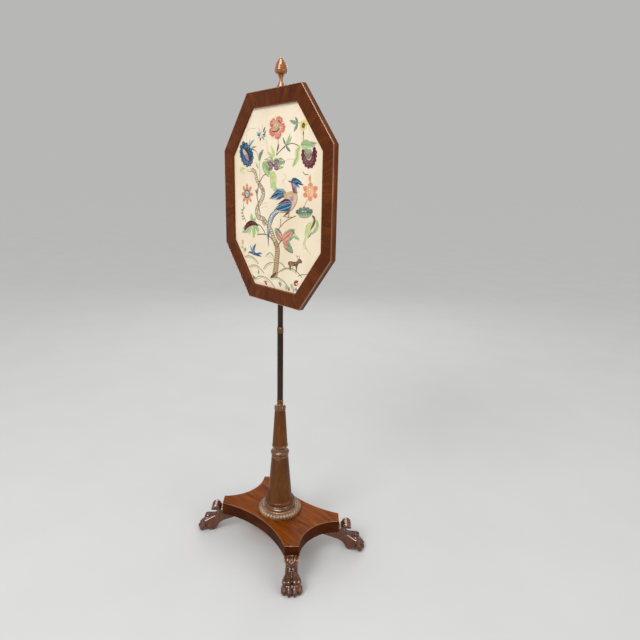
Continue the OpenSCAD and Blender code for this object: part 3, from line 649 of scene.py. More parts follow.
def make_veneer(material):
    """Short leaves of veneer with their grain across the members."""
    front, back = front_of("frame_veneer"), back_of("frame_veneer")
    draw = random.Random(7)
    across = [BEAD_W + 0.05, BEAD_W + 0.9, 9, 16, 23, 30, 37, RAIL_W - 1.6, RAIL_W - 0.55, RAIL_W - 0.05]
    # Per row across the member: darkened beside the bead as painted shade, paled at the inner arris as painted
    # highlight.
    wear_and_shading = [0.1, 0.45, 0.5, 0.5, 0.5, 0.5, 0.5, 0.5, 1.0, 1.0]
    drop = [0.05, 0, 0, 0, 0, 0, 0, 0, 0.2, 0.7]
    points, faces, grain, wear_shade_highlight, flags = [], [], [], [], []
    for i in range(8):
        length = float(np.linalg.norm(octagon(RAIL_W / 2)[(i + 1) % 8] - octagon(RAIL_W / 2)[i]))
        leaves = 3 if length > 185 else 2
        phase = draw.uniform(0, 6)
        cuts = [0.0] + [(k + draw.uniform(-0.2, 0.2)) / leaves for k in range(1, leaves)] + [1.0]
        for first, last in zip(cuts, cuts[1:]):
            deep = draw.uniform(0, 900)
            rows, start = 9, len(points)
            for r in range(rows):
                share = first + (last - first) * r / (rows - 1)
                for d, w, low in zip(across, wear_and_shading, drop):
                    x, z = on_member(i, d, share)
                    swell = 0.05 * math.sin(d * 0.21 + phase) * math.sin(share * length * 0.09 + phase)
                    points.append((x, front + low + 0.05 + swell, FRAME_Z + z))
                    grain.append((d * MM, share * length * MM + deep, deep * 0.37))
                    wear_shade_highlight.append(w)
            n = len(across)
            for r in range(rows):
                share = first + (last - first) * r / (rows - 1)
                for d in (across[0], across[-1]):
                    x, z = on_member(i, d, share)
                    points.append((x, back, FRAME_Z + z))
                    grain.append((d * MM, share * length * MM + deep, deep * 0.37))
                    wear_shade_highlight.append(0.4)
            base = start + rows * n
            for r in range(rows - 1):
                for k in range(n - 1):
                    faces.append((start + r * n + k, start + r * n + k + 1, start + (r + 1) * n + k + 1,
                                  start + (r + 1) * n + k))
                    flags.append(True)
                near, far = start + r * n, start + (r + 1) * n
                faces.append((near, far, base + 2 * (r + 1), base + 2 * r))
                faces.append((far + n - 1, near + n - 1, base + 2 * r + 1, base + 2 * (r + 1) + 1))
                faces.append((base + 2 * r, base + 2 * (r + 1), base + 2 * (r + 1) + 1, base + 2 * r + 1))
                flags += [False] * 3
            end = start + (rows - 1) * n
            faces.append(tuple(start + k for k in reversed(range(n))) + (base, base + 1))
            faces.append(tuple(end + k for k in range(n)) + (base + 2 * rows - 1, base + 2 * rows - 2))
            flags += [False] * 2
    piece = make_piece("frame_veneer_leaves", points, faces, material, "screen", ["frame_veneer"],
                       smooth=flags)
    paint(piece, "grain", grain)
    paint(piece, "wear_shade_highlight", wear_shade_highlight)


def make_bead(material):
    """Half-round strips round the frame's outer edge, mitred at the corners."""
    front, back = front_of("outer_bead"), back_of("outer_bead")
    half = BEAD_W / 2
    draw = random.Random(11)
    # The bead's round crest is paled as a painted highlight; its back edges are darker.
    section = [(0.02, back, 0.4), (0.02, front + half, 0.6)]
    section += [(half - (half - 0.02) * math.cos(a), front + half - half * math.sin(a), 0.62 + 0.38 * math.sin(a))
                for a in np.radians(np.arange(18, 180, 18))]
    section += [(BEAD_W - 0.02, front + half, 0.4), (BEAD_W - 0.02, back, 0.2)]
    n, rows = len(section), 15
    points, faces, grain, wear_shade_highlight, flags = [], [], [], [], []
    for i in range(8):
        start, deep = len(points), draw.uniform(0, 900)
        length = float(np.linalg.norm(octagon(0)[(i + 1) % 8] - octagon(0)[i]))
        for r in range(rows):
            share = 0.0004 + 0.9992 * r / (rows - 1)
            rub = draw.uniform(0, 0.1)
            for d, y, w in section:
                x, z = on_member(i, d, share)
                points.append((x, y + rub * max(0.0, w - 0.6), FRAME_Z + z))
                grain.append((share * length * MM + deep, d * MM, deep * 0.37))
                wear_shade_highlight.append(w)
        for r in range(rows - 1):
            for k in range(n):
                a, b = start + r * n, start + (r + 1) * n
                faces.append((a + k, a + (k + 1) % n, b + (k + 1) % n, b + k))
                flags.append(0 < k < n - 2)
        faces.append(tuple(start + k for k in reversed(range(n))))
        faces.append(tuple(start + (rows - 1) * n + k for k in range(n)))
        flags += [False] * 2
    piece = make_piece("outer_bead_rounded", points, faces, material, "screen", ["outer_bead"],
                       smooth=flags)
    paint(piece, "grain", grain)
    paint(piece, "wear_shade_highlight", wear_shade_highlight)


# Linen

def make_linen(material):
    front, back = front_of("needlework"), back_of("needlework")
    corners = octagon(PANEL_IN)
    part = 14
    edge = np.array([corners[i] + (corners[(i + 1) % 8] - corners[i]) * k / part for i in range(8) for k in range(part)])
    shares = np.linspace(0, 1, 44)[1:]
    draw = np.random.default_rng(3)
    waves = [(draw.uniform(0.01, 0.045), draw.uniform(0, math.pi), draw.uniform(0, 6)) for _ in range(9)]
    n = len(edge)
    flat = np.concatenate([edge * f for f in shares])
    swell = sum(np.sin(w * (flat[:, 0] * math.cos(a) + flat[:, 1] * math.sin(a)) * 2 + p) for w, a, p in waves)
    calm = np.repeat(np.clip((0.93 - shares) / 0.1, 0, 1), n)
    y = front + 0.06 * (1 + np.tanh(swell / 2)) * calm
    top = np.column_stack([flat[:, 0], y, flat[:, 1] + FRAME_Z])
    middle = np.array([[0.0, front + 0.06, FRAME_Z]])
    rim = np.column_stack([edge[:, 0], np.full(n, back), edge[:, 1] + FRAME_Z])
    points = np.concatenate([middle, top, rim])
    rows = len(shares)
    faces = [(0, 1 + i, 1 + (i + 1) % n) for i in range(n)]
    faces += [(1 + r * n + i, 1 + (r + 1) * n + i, 1 + (r + 1) * n + (i + 1) % n, 1 + r * n + (i + 1) % n)
              for r in range(rows - 1) for i in range(n)]
    flags = [True] * len(faces)
    last, under = 1 + (rows - 1) * n, 1 + rows * n
    faces += [(last + i, under + i, under + (i + 1) % n, last + (i + 1) % n) for i in range(n)]
    faces.append(tuple(under + i for i in reversed(range(n))))
    flags += [False] * (n + 1)
    return make_piece("linen_panel", points, faces, material, "screen", ["needlework"], smooth=flags)


# Embroidery: wool stitches on the linen. Places are millimetres from the panel's middle, right and up

YARNS = {
    "coral": (218, 126, 102), "red_coral": (180, 84, 72), "rose": (238, 178, 156), "pink_cream": (224, 192, 160),
    "wine": (112, 44, 52), "plum": (92, 36, 64), "mauve": (134, 88, 108), "lilac": (178, 150, 160),
    "navy": (30, 58, 94), "petrol": (34, 82, 108), "blue": (52, 108, 152), "sky": (126, 174, 202),
    "teal": (92, 136, 138), "grey_green": (124, 148, 126), "dark_green": (78, 104, 86), "sage": (158, 176, 138),
    "leaf_green": (144, 180, 112), "light_green": (190, 212, 152), "yellow_green": (212, 220, 144),
    "yellow": (232, 208, 112), "pale_yellow": (240, 230, 162), "orange": (232, 150, 104), "tan": (206, 178, 138),
    "bark": (112, 82, 54), "brown": (146, 104, 68), "cream": (234, 220, 188), "olive": (134, 122, 76),
    "red": (178, 46, 62), "ink": (46, 42, 40)}
THREAD = 1.15
LAYER_RISE = 0.3


class Needle:
    """Collects stitches as ends, colour, width and height above the linen."""

    def __init__(self, seed):
        self.draw = random.Random(seed)
        self.ends, self.colours, self.widths, self.bases = [], [], [], []

    def stitch(self, a, b, colour, width=THREAD, layer=0):
        reach = math.hypot(b[0] - a[0], b[1] - a[1])
        if reach < 0.4:
            return
        shade = self.draw.uniform(0.86, 1.1)
        self.ends.append((*a, *b))
        self.colours.append([min(1.0, c * shade) for c in colour])
        self.widths.append(width * self.draw.uniform(0.92, 1.06))
        self.bases.append(layer * LAYER_RISE + self.draw.uniform(0, 0.05))

    def run(self, a, b, colours, width=THREAD, layer=0, longest=9.0, shift=0.0):
        """Stitches end to end from a to b, with the colour going from the first to the last."""
        reach = math.hypot(b[0] - a[0], b[1] - a[1])
        parts = max(1, math.ceil(reach / longest))
        cuts = [0.0] + [min(0.97, max(0.03, (k + shift + self.draw.uniform(-0.2, 0.2)) / parts))
                        for k in range(1, parts)] + [1.0]
        for start, end in zip(cuts, cuts[1:]):
            lap = min(0.6 / max(reach, 1), 0.04)
            f, g = max(0.0, start - lap), min(1.0, end + lap)
            tone = blend_yarn(colours, (start + end) / 2 + self.draw.uniform(-0.12, 0.12))
            self.stitch(between(a, b, f), between(a, b, g), tone, width, layer)


def between(a, b, share):
    return (a[0] + (b[0] - a[0]) * share, a[1] + (b[1] - a[1]) * share)


def blend_yarn(names, share):
    """One of the named yarns, the first for a low share: yarns don't mix, they alternate."""
    place = min(max(share, 0.0), 0.999) * len(names)
    return linear(*YARNS[names[int(place)]])


def curve_through(points, spacing):
    """Points about spacing apart on a smooth curve through points."""
    points = [Vector(p) for p in points]
    if len(points) < 3:
        points = [points[0], (points[0] + points[-1]) / 2, points[-1]]
    padded = [2 * points[0] - points[1]] + points + [2 * points[-1] - points[-2]]
    fine = []
    for p0, p1, p2, p3 in zip(padded, padded[1:], padded[2:], padded[3:]):
        for k in range(12):
            t = k / 12
            fine.append(0.5 * (2 * p1 + (p2 - p0) * t + (2 * p0 - 5 * p1 + 4 * p2 - p3) * t * t
                               + (3 * p1 - p0 - 3 * p2 + p3) * t ** 3))
    fine.append(points[-1])
    lengths = [0.0]
    for a, b in zip(fine, fine[1:]):
        lengths.append(lengths[-1] + (b - a).length)
    count = max(2, round(lengths[-1] / spacing))
    wanted = np.linspace(0, lengths[-1], count + 1)
    xs = np.interp(wanted, lengths, [p.x for p in fine])
    ys = np.interp(wanted, lengths, [p.y for p in fine])
    return list(zip(xs.tolist(), ys.tolist()))


def sides_of(path):
    """The unit normal at each point of a path."""
    made = []
    for k in range(len(path)):
        a, b = path[max(0, k - 1)], path[min(len(path) - 1, k + 1)]
        dx, dy = b[0] - a[0], b[1] - a[1]
        size = math.hypot(dx, dy) or 1.0
        made.append((-dy / size, dx / size))
    return made


def stem_line(needle, names, width, layer, points):
    path = curve_through(points, 2.6)
    normals = sides_of(path)
    for k in range(len(path) - 1):
        far = min(k + 2, len(path) - 1)
        side = 0.18 * width
        a = (path[k][0] - normals[k][0] * side, path[k][1] - normals[k][1] * side)
        b = (path[far][0] + normals[far][0] * side, path[far][1] + normals[far][1] * side)
        needle.stitch(a, b, blend_yarn(names, k / len(path)), width, layer)


def leaf_shape(needle, names, half, layer, points):
    """Slanted satin stitches from a spine to both edges of a leaf."""
    path = curve_through(points, THREAD * 0.92)
    normals = sides_of(path)
    last = len(path) - 1
    slant = max(1, round(half * 0.7 / THREAD))
    for k in range(last + 1):
        far = min(last, k + slant)
        share = far / last
        w = half * math.sin(math.pi * min(1.0, 0.06 + 0.94 * share)) ** 0.75 * (1.12 - 0.25 * share)
        for side in (-1, 1):
            a = path[k]
            edge = w * needle.draw.uniform(0.84, 1.06)
            b = (path[far][0] + side * normals[far][0] * edge, path[far][1] + side * normals[far][1] * edge)
            tones = names if side < 0 else names[::-1]
            needle.run(a, b, tones, THREAD, layer, longest=7.5, shift=0.5 * (k % 2) - 0.25)


def blob_shape(needle, names, angle, layer, points):
    """Long and short stitches across an outline, at an angle in degrees."""
    outline = curve_through(points + [points[0]], 2.0)
    c, s = math.cos(math.radians(angle)), math.sin(math.radians(angle))
    turned = [(x * c + y * s, y * c - x * s) for x, y in outline]
    low, high = min(p[1] for p in turned), max(p[1] for p in turned)
    rows = max(1, int((high - low) / (THREAD * 0.9)))
    for r in range(rows):
        y = low + (r + 0.5) * (high - low) / rows
        hits = sorted(ax + (y - ay) * (bx - ax) / (by - ay) for (ax, ay), (bx, by) in zip(turned, turned[1:] + turned[:1])
                      if (ay > y) != (by > y))
        for x0, x1 in zip(hits[::2], hits[1::2]):
            x0, x1 = x0 - needle.draw.uniform(0, 0.4), x1 + needle.draw.uniform(0, 0.4)
            a, b = (x0 * c - y * s, x0 * s + y * c), (x1 * c - y * s, x1 * s + y * c)
            needle.run(a, b, names, THREAD, layer, longest=8.0, shift=0.5 * (r % 2) - 0.25)


def burst_shape(needle, names, size, layer, points):
    """Stitches out from a middle in lobes. size is both radii, the number of lobes, the first one's angle,
    where the stitches start and how pointed the lobes are."""
    rx, ry, lobes, start, inner, sharp = size
    x, y = points[0]
    count = int(2 * math.pi * 0.8 * max(rx, ry) / THREAD)
    for k in range(count):
        a = 2 * math.pi * (k + needle.draw.uniform(-0.3, 0.3)) / count
        swing = abs(math.cos(lobes * (a - math.radians(start)) / 2)) ** sharp
        reach = inner + (1 - inner) * swing * needle.draw.uniform(0.88, 1.04)
        if reach > inner + 0.14:
            ux, uy = math.cos(a) * rx, math.sin(a) * ry
            needle.run((x + ux * inner, y + uy * inner), (x + ux * reach, y + uy * reach), names, THREAD, layer, 8.0)


def rays_shape(needle, names, size, layer, points):
    """Single strands out from a middle: both radii, their number, the first angle, and the shares where they
    start and end."""
    rx, ry, count, start, inner, outer = size
    x, y = points[0]
    for k in range(count):
        a = math.radians(start) + 2 * math.pi * k / count
        ux, uy = math.cos(a) * rx, math.sin(a) * ry
        end = outer * needle.draw.uniform(0.88, 1.05)
        needle.run((x + ux * inner, y + uy * inner), (x + ux * end, y + uy * end), names, THREAD * 1.1, layer, 9.0)


def disc_shape(needle, names, size, layer, points):
    rx, ry = size
    count = max(8, int(2 * math.pi * max(rx, ry) / THREAD / 1.1))
    for x, y in points:
        for k in range(count):
            a = 2 * math.pi * k / count
            ux, uy = math.cos(a) * rx, math.sin(a) * ry
            inner = 0.1 if k % 2 else 0.3
            needle.run((x + ux * inner, y + uy * inner), (x + ux, y + uy), names, THREAD, layer, 7.0)


def limb_shape(needle, names, size, layer, points):
    """A trunk or ribbon: pale stitches across, dark rungs and two dark edges, from one half-width to the other."""
    path = curve_through(points, 1.4)
    normals = sides_of(path)
    last = len(path) - 1
    edges = []
    for side in (-1, 1):
        edges.append([(p[0] + side * n[0] * (size[0] + (size[1] - size[0]) * k / last),
                       p[1] + side * n[1] * (size[0] + (size[1] - size[0]) * k / last))
                      for k, (p, n) in enumerate(zip(path, normals))])
    for k in range(last + 1):
        needle.run(edges[0][k], edges[1][k], names[:1], 1.3, layer, 10.0)
        if k % 5 == 0 and k < last:
            needle.run(between(edges[0][k], edges[1][k], 0.1), between(edges[0][k + 1], edges[1][k + 1], 0.9),
                       names[1:], 1.9, layer + 1, 14.0)
    for edge in edges:
        stem_line(needle, names[1:], 1.6, layer + 1, edge[::4] + [edge[-1]])


def knots_shape(needle, names, size, layer, points):
    """Small round knots: a few crossed short stitches each."""
    for x, y in points:
        for k in range(4):
            a = math.pi * k / 4 + needle.draw.uniform(0, 0.5)
            ux, uy = math.cos(a) * size, math.sin(a) * size
            needle.stitch((x - ux, y - uy), (x + ux, y + uy), blend_yarn(names, 0), size * 0.9, layer + 0.3 * k)


def tuft_shape(needle, names, size, layer, points):
    for x, y in points:
        for k in range(-2, 3):
            a = math.pi / 2 + 0.36 * k
            reach = size * (1 - 0.12 * abs(k))
            bend = (x + math.cos(a) * reach * 0.55 * 0.8, y + math.sin(a) * reach * 0.6)
            stem_line(needle, names, 1.5, layer, [(x, y), bend, (x + math.cos(a) * reach, y + math.sin(a) * reach)])


SHAPES = {"line": stem_line, "leaf": leaf_shape, "blob": blob_shape, "burst": burst_shape, "rays": rays_shape,
          "disc": disc_shape, "limb": limb_shape, "knots": knots_shape, "tuft": tuft_shape}


def make_embroidery(group, seed, material):
    needle = Needle(seed)
    for kind, names, size, layer, points in MOTIFS[group]:
        SHAPES[kind](needle, names.split(), size, layer, points)
    opening = octagon(RAIL_W + 1.2)
    ends = np.array(needle.ends)
    keep = np.ones(len(ends), bool)
    for (ax, ay), (bx, by) in zip(opening, np.roll(opening, -1, axis=0)):
        for x, y in ((ends[:, 0], ends[:, 1]), (ends[:, 2], ends[:, 3])):
            keep &= (bx - ax) * (y - ay) - (by - ay) * (x - ax) > 0
    ends = ends[keep]
    colours, widths, bases = (np.array(v)[keep] for v in (needle.colours, needle.widths, needle.bases))
    way = ends[:, 2:] - ends[:, :2]
    reach = np.linalg.norm(way, axis=1)[:, None]
    way = way / reach
    side = np.column_stack([-way[:, 1], way[:, 0]])
    front = front_of("needlework")
    stations = ((0.0, 0.45, 0.1), (0.16, 0.95, 0.92), (0.84, 0.95, 0.92), (1.0, 0.45, 0.1))
    section = ((-0.5, 0.0), (-0.3, 0.8), (0.3, 0.8), (0.5, 0.0))
    rows = []
    for along, wide, high in stations:
        for across, up in section:
            flat = ends[:, :2] + way * reach * along + side * (across * wide * widths)[:, None]
            y = front + 0.16 - (bases * high + up * high * 0.48 * np.minimum(widths, 1.6) + 0.16 * (up > 0))
            rows.append(np.column_stack([flat[:, 0], y, flat[:, 1] + FRAME_Z]))
    points = np.stack(rows, axis=1).reshape(-1, 3)
    pattern = [(s * 4 + k, s * 4 + (k + 1) % 4, s * 4 + 4 + (k + 1) % 4, s * 4 + 4 + k) for s in range(3) for k in range(4)]
    pattern += [(3, 2, 1, 0), (12, 13, 14, 15)]
    faces = (np.arange(len(ends))[:, None, None] * 16 + np.array(pattern)[None]).reshape(-1, 4)
    piece = make_piece("embroidery_" + group, points, faces, material, "screen")
    paint(piece, "yarn", np.column_stack([np.repeat(colours, 16, axis=0), np.ones(len(points))]))
    return piece


MOTIFS = {
    "tree": [
        ("limb", "tan bark", (11, 9), 0, [(-2, -220), (4, -196), (8, -170), (12, -147), (10, -131), (0,
          -116)]),
        ("limb", "cream bark", (8, 4.5), 0, [(1, -119), (-10, -103), (-20, -85), (-36, -70), (-49, -62)]),
        ("leaf", "bark", 5, 2, [(-22, -226), (-7, -217), (10, -205)]),
        ("line", "bark", 2.6, 2, [(10, -134), (18, -123), (27, -115), (36, -110)]),
        ("line", "bark", 2.6, 1, [(1, -132), (-8, -118), (-26, -105), (-47, -100), (-71, -101), (-91,
          -104)]),
        ("line", "bark", 2.2, 0, [(-47, -100), (-59, -87), (-73, -77), (-85, -73)]),
        ("limb", "cream olive", (5, 5), 0, [(-55, -53), (-59, -64), (-49, -71)]),
        ("limb", "cream bark", (4.5, 6), 0, [(-118, 86), (-105, 82), (-97, 73), (-92, 59), (-82, 47), (-66,
          34), (-58, 24)]),
        ("limb", "cream bark", (6, 6), 0, [(-61, 31), (-57, 20), (-62, 6), (-78, -11), (-89, -24), (-94,
          -38), (-85, -52), (-59, -55), (-44, -66)]),
        ("knots", "olive", 1.5, 2, [(-123, 88), (-109, 86), (-97, 77), (-94, 62), (-84, 51), (-71, 41),
          (-61, 31)]),
        ("knots", "olive", 1.5, 2, [(-58, 26), (-56, 14), (-64, -2), (-85, -16), (-94, -28), (-96, -43),
          (-78, -56), (-56, -59)]),
        ("knots", "bark", 1.4, 2, [(-67, 21), (-67, 9), (-78, -6), (-87, -19), (-86, -32), (-81, -45)]),
        ("line", "brown", 1.5, 0, [(-142, 84), (-132, 81), (-118, 82)]),
        ("line", "bark", 2.8, 1, [(-80, 45), (-85, 32), (-89, 19), (-91, 5)]),
        ("line", "bark", 2.8, 1, [(-91, 31), (-92, 14), (-86, -5), (-81, -24), (-76, -40), (-72, -53)]),
        ("line", "bark", 2.2, 1, [(-80, 45), (-69, 58), (-58, 68), (-45, 73)]),
        ("leaf", "bark", 1.8, 0, [(-91, 18), (-96, 22), (-100, 28)]),
        ("line", "grey_green", 1.4, 0, [(-77, 48), (-75, 77), (-78, 105), (-83, 120), (-91, 135), (-110,
          145)]),
        ("leaf", "dark_green sage", 7, 0, [(-77, 110), (-73, 125), (-57, 141)]),
        ("leaf", "sage light_green", 4, 0, [(-82, 89), (-90, 97), (-98, 107)]),
        ("line", "wine", 2.2, 0, [(5, 123), (25, 135), (46, 146), (60, 150), (80, 152), (105, 145)]),
        ("line", "brown", 1.8, 0, [(6, 123), (11, 136), (14, 153), (14, 171)]),
        ("leaf", "bark", 3.6, 0, [(10, 134), (13, 143), (18, 153)]),
        ("leaf", "light_green yellow_green", 5.5, 0, [(-1, 121), (-10, 134), (-21, 151)]),
        ("leaf", "yellow_green light_green", 5.5, 0, [(-3, 120), (-20, 125), (-39, 133)]),
        ("line", "tan", 1.0, 0, [(-43, 168), (-38, 152), (-35, 137), (-26, 131)]),
        ("leaf", "sage light_green", 5, 0, [(50, 149), (61, 163), (69, 178)]),
        ("leaf", "light_green sage", 3.5, 0, [(52, 148), (68, 160), (74, 171)]),
        ("leaf", "grey_green dark_green", 3.2, 0, [(48, 150), (41, 159), (37, 170)]),
        ("leaf", "grey_green teal", 4.2, 0, [(51, 147), (58, 139), (71, 131)]),
        ("leaf", "sage grey_green", 2.8, 0, [(48, 147), (41, 143), (34, 142)]),
        ("line", "bark", 2.2, 0, [(26, -74), (42, -60), (68, -48), (97, -38)]),
        ("line", "bark", 2.0, 0, [(15, -83), (26, -69), (28, -59), (26, -50)]),
        ("line", "brown", 1.6, 0, [(57, -47), (73, -42), (78, -44)]),
        ("line", "tan", 1.0, 0, [(-64, -14), (-49, -9), (-31, -8)]),
        ("line", "tan", 0.9, 0, [(-70, -25), (-56, -20), (-36, -18)]),
        ("line", "tan", 1.0, 0, [(-143, 172), (-142, 188), (-137, 198), (-121, 202), (-96, 200)]),
        ("line", "tan", 0.9, 0, [(41, 106), (63, 112), (88, 110), (104, 116)]),
        ("line", "tan", 0.9, 0, [(36, 70), (49, 73), (49, 61), (36, 55), (40, 46)]),
    ],
    "flowers": [
        ("burst", "rose coral", (40, 32, 5, 66, 0.34, 0.26), 0, [(8, 196)]),
        ("rays", "red_coral", (38, 30, 20, 4, 0.42, 0.72), 1, [(8, 196)]),
        ("rays", "pink_cream", (40, 32, 32, 9, 0.8, 0.98), 1, [(8, 196)]),
        ("burst", "pink_cream tan", (18, 15, 1, 0, 0.15, 0.0), 1, [(5, 202)]),
        ("line", "brown", 1.0, 2, [(-6, 205), (-2, 209), (9, 210), (16, 205), (14, 197), (5, 194), (-4,
          198), (-6, 205)]),
        ("knots", "brown", 1.4, 2, [(6, 201), (8, 205), (2, 198)]),
        ("line", "wine", 2.6, 3, [(-14, 189), (-3, 186), (11, 187), (21, 193)]),
        ("line", "wine", 2.2, 3, [(14, 215), (21, 211), (25, 206)]),
        ("line", "wine", 1.4, 3, [(-21, 208), (-16, 204), (-9, 202)]),
        ("leaf", "navy", 2.8, 0, [(-57, 188), (-53, 195), (-47, 202)]),
        ("leaf", "teal", 2.4, 0, [(-54, 184), (-48, 188), (-43, 193)]),
        ("leaf", "sky", 3.4, 0, [(-70, 184), (-80, 186), (-91, 189)]),
        ("leaf", "navy", 2.0, 0, [(-72, 181), (-81, 181), (-90, 183)]),
        ("leaf", "teal", 2.2, 0, [(-75, 178), (-79, 174), (-78, 171)]),
        ("leaf", "navy", 2.4, 0, [(-70, 173), (-73, 169), (-72, 164)]),
        ("leaf", "teal", 2.2, 0, [(-63, 175), (-57, 171), (-53, 166)]),
        ("leaf", "sky", 2.6, 0, [(-60, 178), (-52, 177), (-44, 177)]),
        ("leaf", "navy", 1.6, 0, [(-60, 183), (-53, 181), (-45, 184)]),
        ("line", "yellow", 2.4, 1, [(-67, 185), (-66, 179), (-68, 171)]),
        ("line", "brown", 1.0, 0, [(-70, 186), (-75, 194), (-81, 201)]),
        ("line", "coral", 1.0, 0, [(-66, 185), (-63, 197), (-62, 209)]),
        ("burst", "yellow pale_yellow", (20, 17, 7, 10, 0.3, 0.5), 0, [(125, 195)]),
        ("rays", "yellow_green", (19, 16, 9, 5, 0.45, 0.9), 1, [(125, 195)]),
        ("disc", "ink olive", (7, 7.5), 2, [(125, 194)]),
        ("line", "brown", 1.8, 0, [(125, 184), (125, 175), (124, 154)]),
        ("leaf", "bark", 2.6, 0, [(125, 179), (124, 174), (124, 169)]),
        ("leaf", "grey_green sage", 5.0, 0, [(100, 201), (84, 205), (65, 211)]),
        ("leaf", "grey_green teal", 4.0, 0, [(101, 202), (96, 209), (90, 218)]),
        ("leaf", "sage grey_green", 5.6, 0, [(100, 200), (94, 192), (84, 182)]),
        ("line", "orange", 1.6, 0, [(101, 201), (109, 202), (116, 202)]),
        ("blob", "blue petrol", 60, 0, [(-161, 161), (-146, 158), (-133, 150), (-123, 141), (-117, 131),
          (-115, 120), (-119, 109), (-129, 102), (-142, 100), (-157, 106), (-168, 116), (-175, 127), (-177,
          139), (-173, 151)]),
        ("disc", "petrol navy", (8.2, 6.6), 1, [(-161, 162), (-146, 158), (-133, 151), (-123, 141), (-117,
          131), (-115, 120), (-120, 109), (-129, 102), (-142, 100), (-157, 105), (-167, 115), (-174, 127),
          (-176, 139), (-173, 152)]),
        ("rays", "sky", (24, 34, 22, 8, 0.62, 0.84), 2, [(-145, 130)]),
        ("disc", "sky", (2.4, 2.2), 2, [(-162, 164), (-146, 160), (-132, 152), (-121, 142), (-115, 131),
          (-113, 119), (-118, 108), (-128, 100), (-142, 98), (-158, 104), (-169, 114), (-177, 127), (-179,
          140), (-175, 153)]),
        ("blob", "blue petrol", 55, 2, [(-174, 155), (-158, 150), (-140, 136), (-126, 121), (-119, 105),
          (-135, 107), (-154, 120), (-169, 137)]),
        ("blob", "pink_cream lilac", -50, 3, [(-165, 149), (-154, 145), (-141, 135), (-132, 123), (-127,
          111), (-138, 112), (-151, 122), (-162, 135)]),
        ("line", "wine", 2.6, 4, [(-165, 149), (-154, 145), (-141, 135), (-132, 123), (-127, 111), (-138,
          112), (-151, 122), (-162, 135), (-165, 149)]),
        ("line", "ink", 1.4, 4, [(-143, 138), (-134, 126), (-129, 110)]),
        ("leaf", "grey_green sky", 3.6, 0, [(-128, 150), (-118, 162), (-102, 171)]),
        ("leaf", "sage", 2.8, 0, [(-131, 154), (-127, 164), (-125, 173)]),
        ("leaf", "sage grey_green", 2.8, 0, [(-122, 146), (-107, 149), (-90, 151)]),
        ("leaf", "teal", 2.2, 0, [(-120, 145), (-107, 142), (-96, 139)]),
        ("leaf", "light_green", 3.4, 0, [(-173, 94), (-179, 84), (-183, 75)]),
        ("leaf", "yellow_green", 3.4, 0, [(-173, 93), (-168, 81), (-158, 72)]),
        ("leaf", "light_green", 2.6, 0, [(-172, 93), (-162, 89), (-151, 89)]),
        ("leaf", "light_green sage", 6, 0, [(-11, 99), (-27, 107), (-48, 116)]),
        ("leaf", "leaf_green light_green", 6, 0, [(-10, 101), (-14, 110), (-23, 119)]),
        ("leaf", "light_green leaf_green", 6, 0, [(-6, 100), (-1, 109), (10, 116)]),
        ("leaf", "sage light_green", 6.5, 0, [(-6, 100), (15, 109), (36, 116)]),
        ("leaf", "leaf_green sage", 7, 0, [(-3, 98), (20, 102), (46, 105)]),
        ("leaf", "light_green leaf_green", 6, 0, [(-5, 97), (16, 91), (40, 91)]),
        ("leaf", "light_green sage", 6.5, 0, [(-11, 98), (-36, 102), (-59, 107)]),
        ("blob", "light_green leaf_green", 60, 0, [(-54, 108), (-37, 101), (-30, 89), (-26, 76), (-32, 67),
          (-46, 73), (-58, 84), (-62, 97)]),
        ("line", "dark_green", 1.3, 1, [(-58, 107), (-61, 95), (-54, 81), (-41, 70), (-29, 65)]),
        ("line", "dark_green", 1.1, 1, [(-54, 112), (-38, 114), (-26, 119), (-12, 116)]),
        ("line", "dark_green", 1.1, 1, [(18, 115), (36, 111), (45, 106), (39, 97)]),
        ("leaf", "mauve lilac", 9.5, 2, [(-10, 98), (-23, 103), (-39, 105)]),
        ("leaf", "lilac mauve", 8.5, 2, [(-11, 95), (-22, 89), (-32, 83)]),
        ("leaf", "mauve lilac", 10, 2, [(-6, 98), (6, 104), (20, 108)]),
        ("leaf", "lilac mauve", 8.5, 2, [(-5, 95), (7, 91), (20, 88)]),
        ("knots", "plum", 3.0, 3, [(-8, 97), (-12, 99), (-4, 94)]),
        ("leaf", "light_green yellow_green", 16, 1, [(-25, 79), (-14, 70), (-6, 57), (-12, 44), (10, 32)]),
        ("line", "leaf_green", 1.3, 2, [(-29, 76), (-20, 64), (-21, 49), (-8, 39), (11, 32)]),
        ("line", "yellow", 1.2, 2, [(-11, 74), (-3, 63), (-2, 54)]),
        ("blob", "wine plum", 80, 0, [(123, 132), (133, 121), (143, 109), (152, 107), (158, 114), (163,
          128), (171, 135), (175, 119), (172, 104), (162, 93), (148, 90), (134, 97), (125, 110), (121,
          121)]),
        ("disc", "plum wine", (6.2, 5.6), 1, [(124, 130), (122, 121), (124, 112), (129, 103), (137, 95),
          (148, 91), (160, 92), (168, 99), (173, 107), (175, 117), (175, 126), (170, 134)]),
        ("rays", "lilac", (22, 24, 15, 8, 0.66, 0.86), 2, [(149, 113)]),
        ("blob", "olive sage", 90, 2, [(127, 135), (137, 137), (148, 134), (157, 134), (160, 125), (157,
          116), (150, 109), (142, 112), (133, 123)]),
        ("line", "lilac", 1.2, 3, [(133, 134), (140, 116)]),
        ("line", "lilac", 1.2, 3, [(142, 134), (147, 111)]),
        ("line", "lilac", 1.2, 3, [(151, 133), (153, 113)]),
        ("leaf", "light_green sage", 8.5, 0, [(115, 146), (134, 152), (154, 150)]),
        ("leaf", "sage light_green", 8.5, 0, [(136, 145), (159, 145), (180, 148)]),
        ("leaf", "light_green", 5, 0, [(117, 143), (130, 139), (147, 142)]),
        ("leaf", "light_green yellow_green", 10, 0, [(114, 144), (99, 131), (100, 116), (79, 91)]),
        ("line", "dark_green", 1.2, 1, [(112, 143), (102, 131), (100, 116), (82, 93)]),
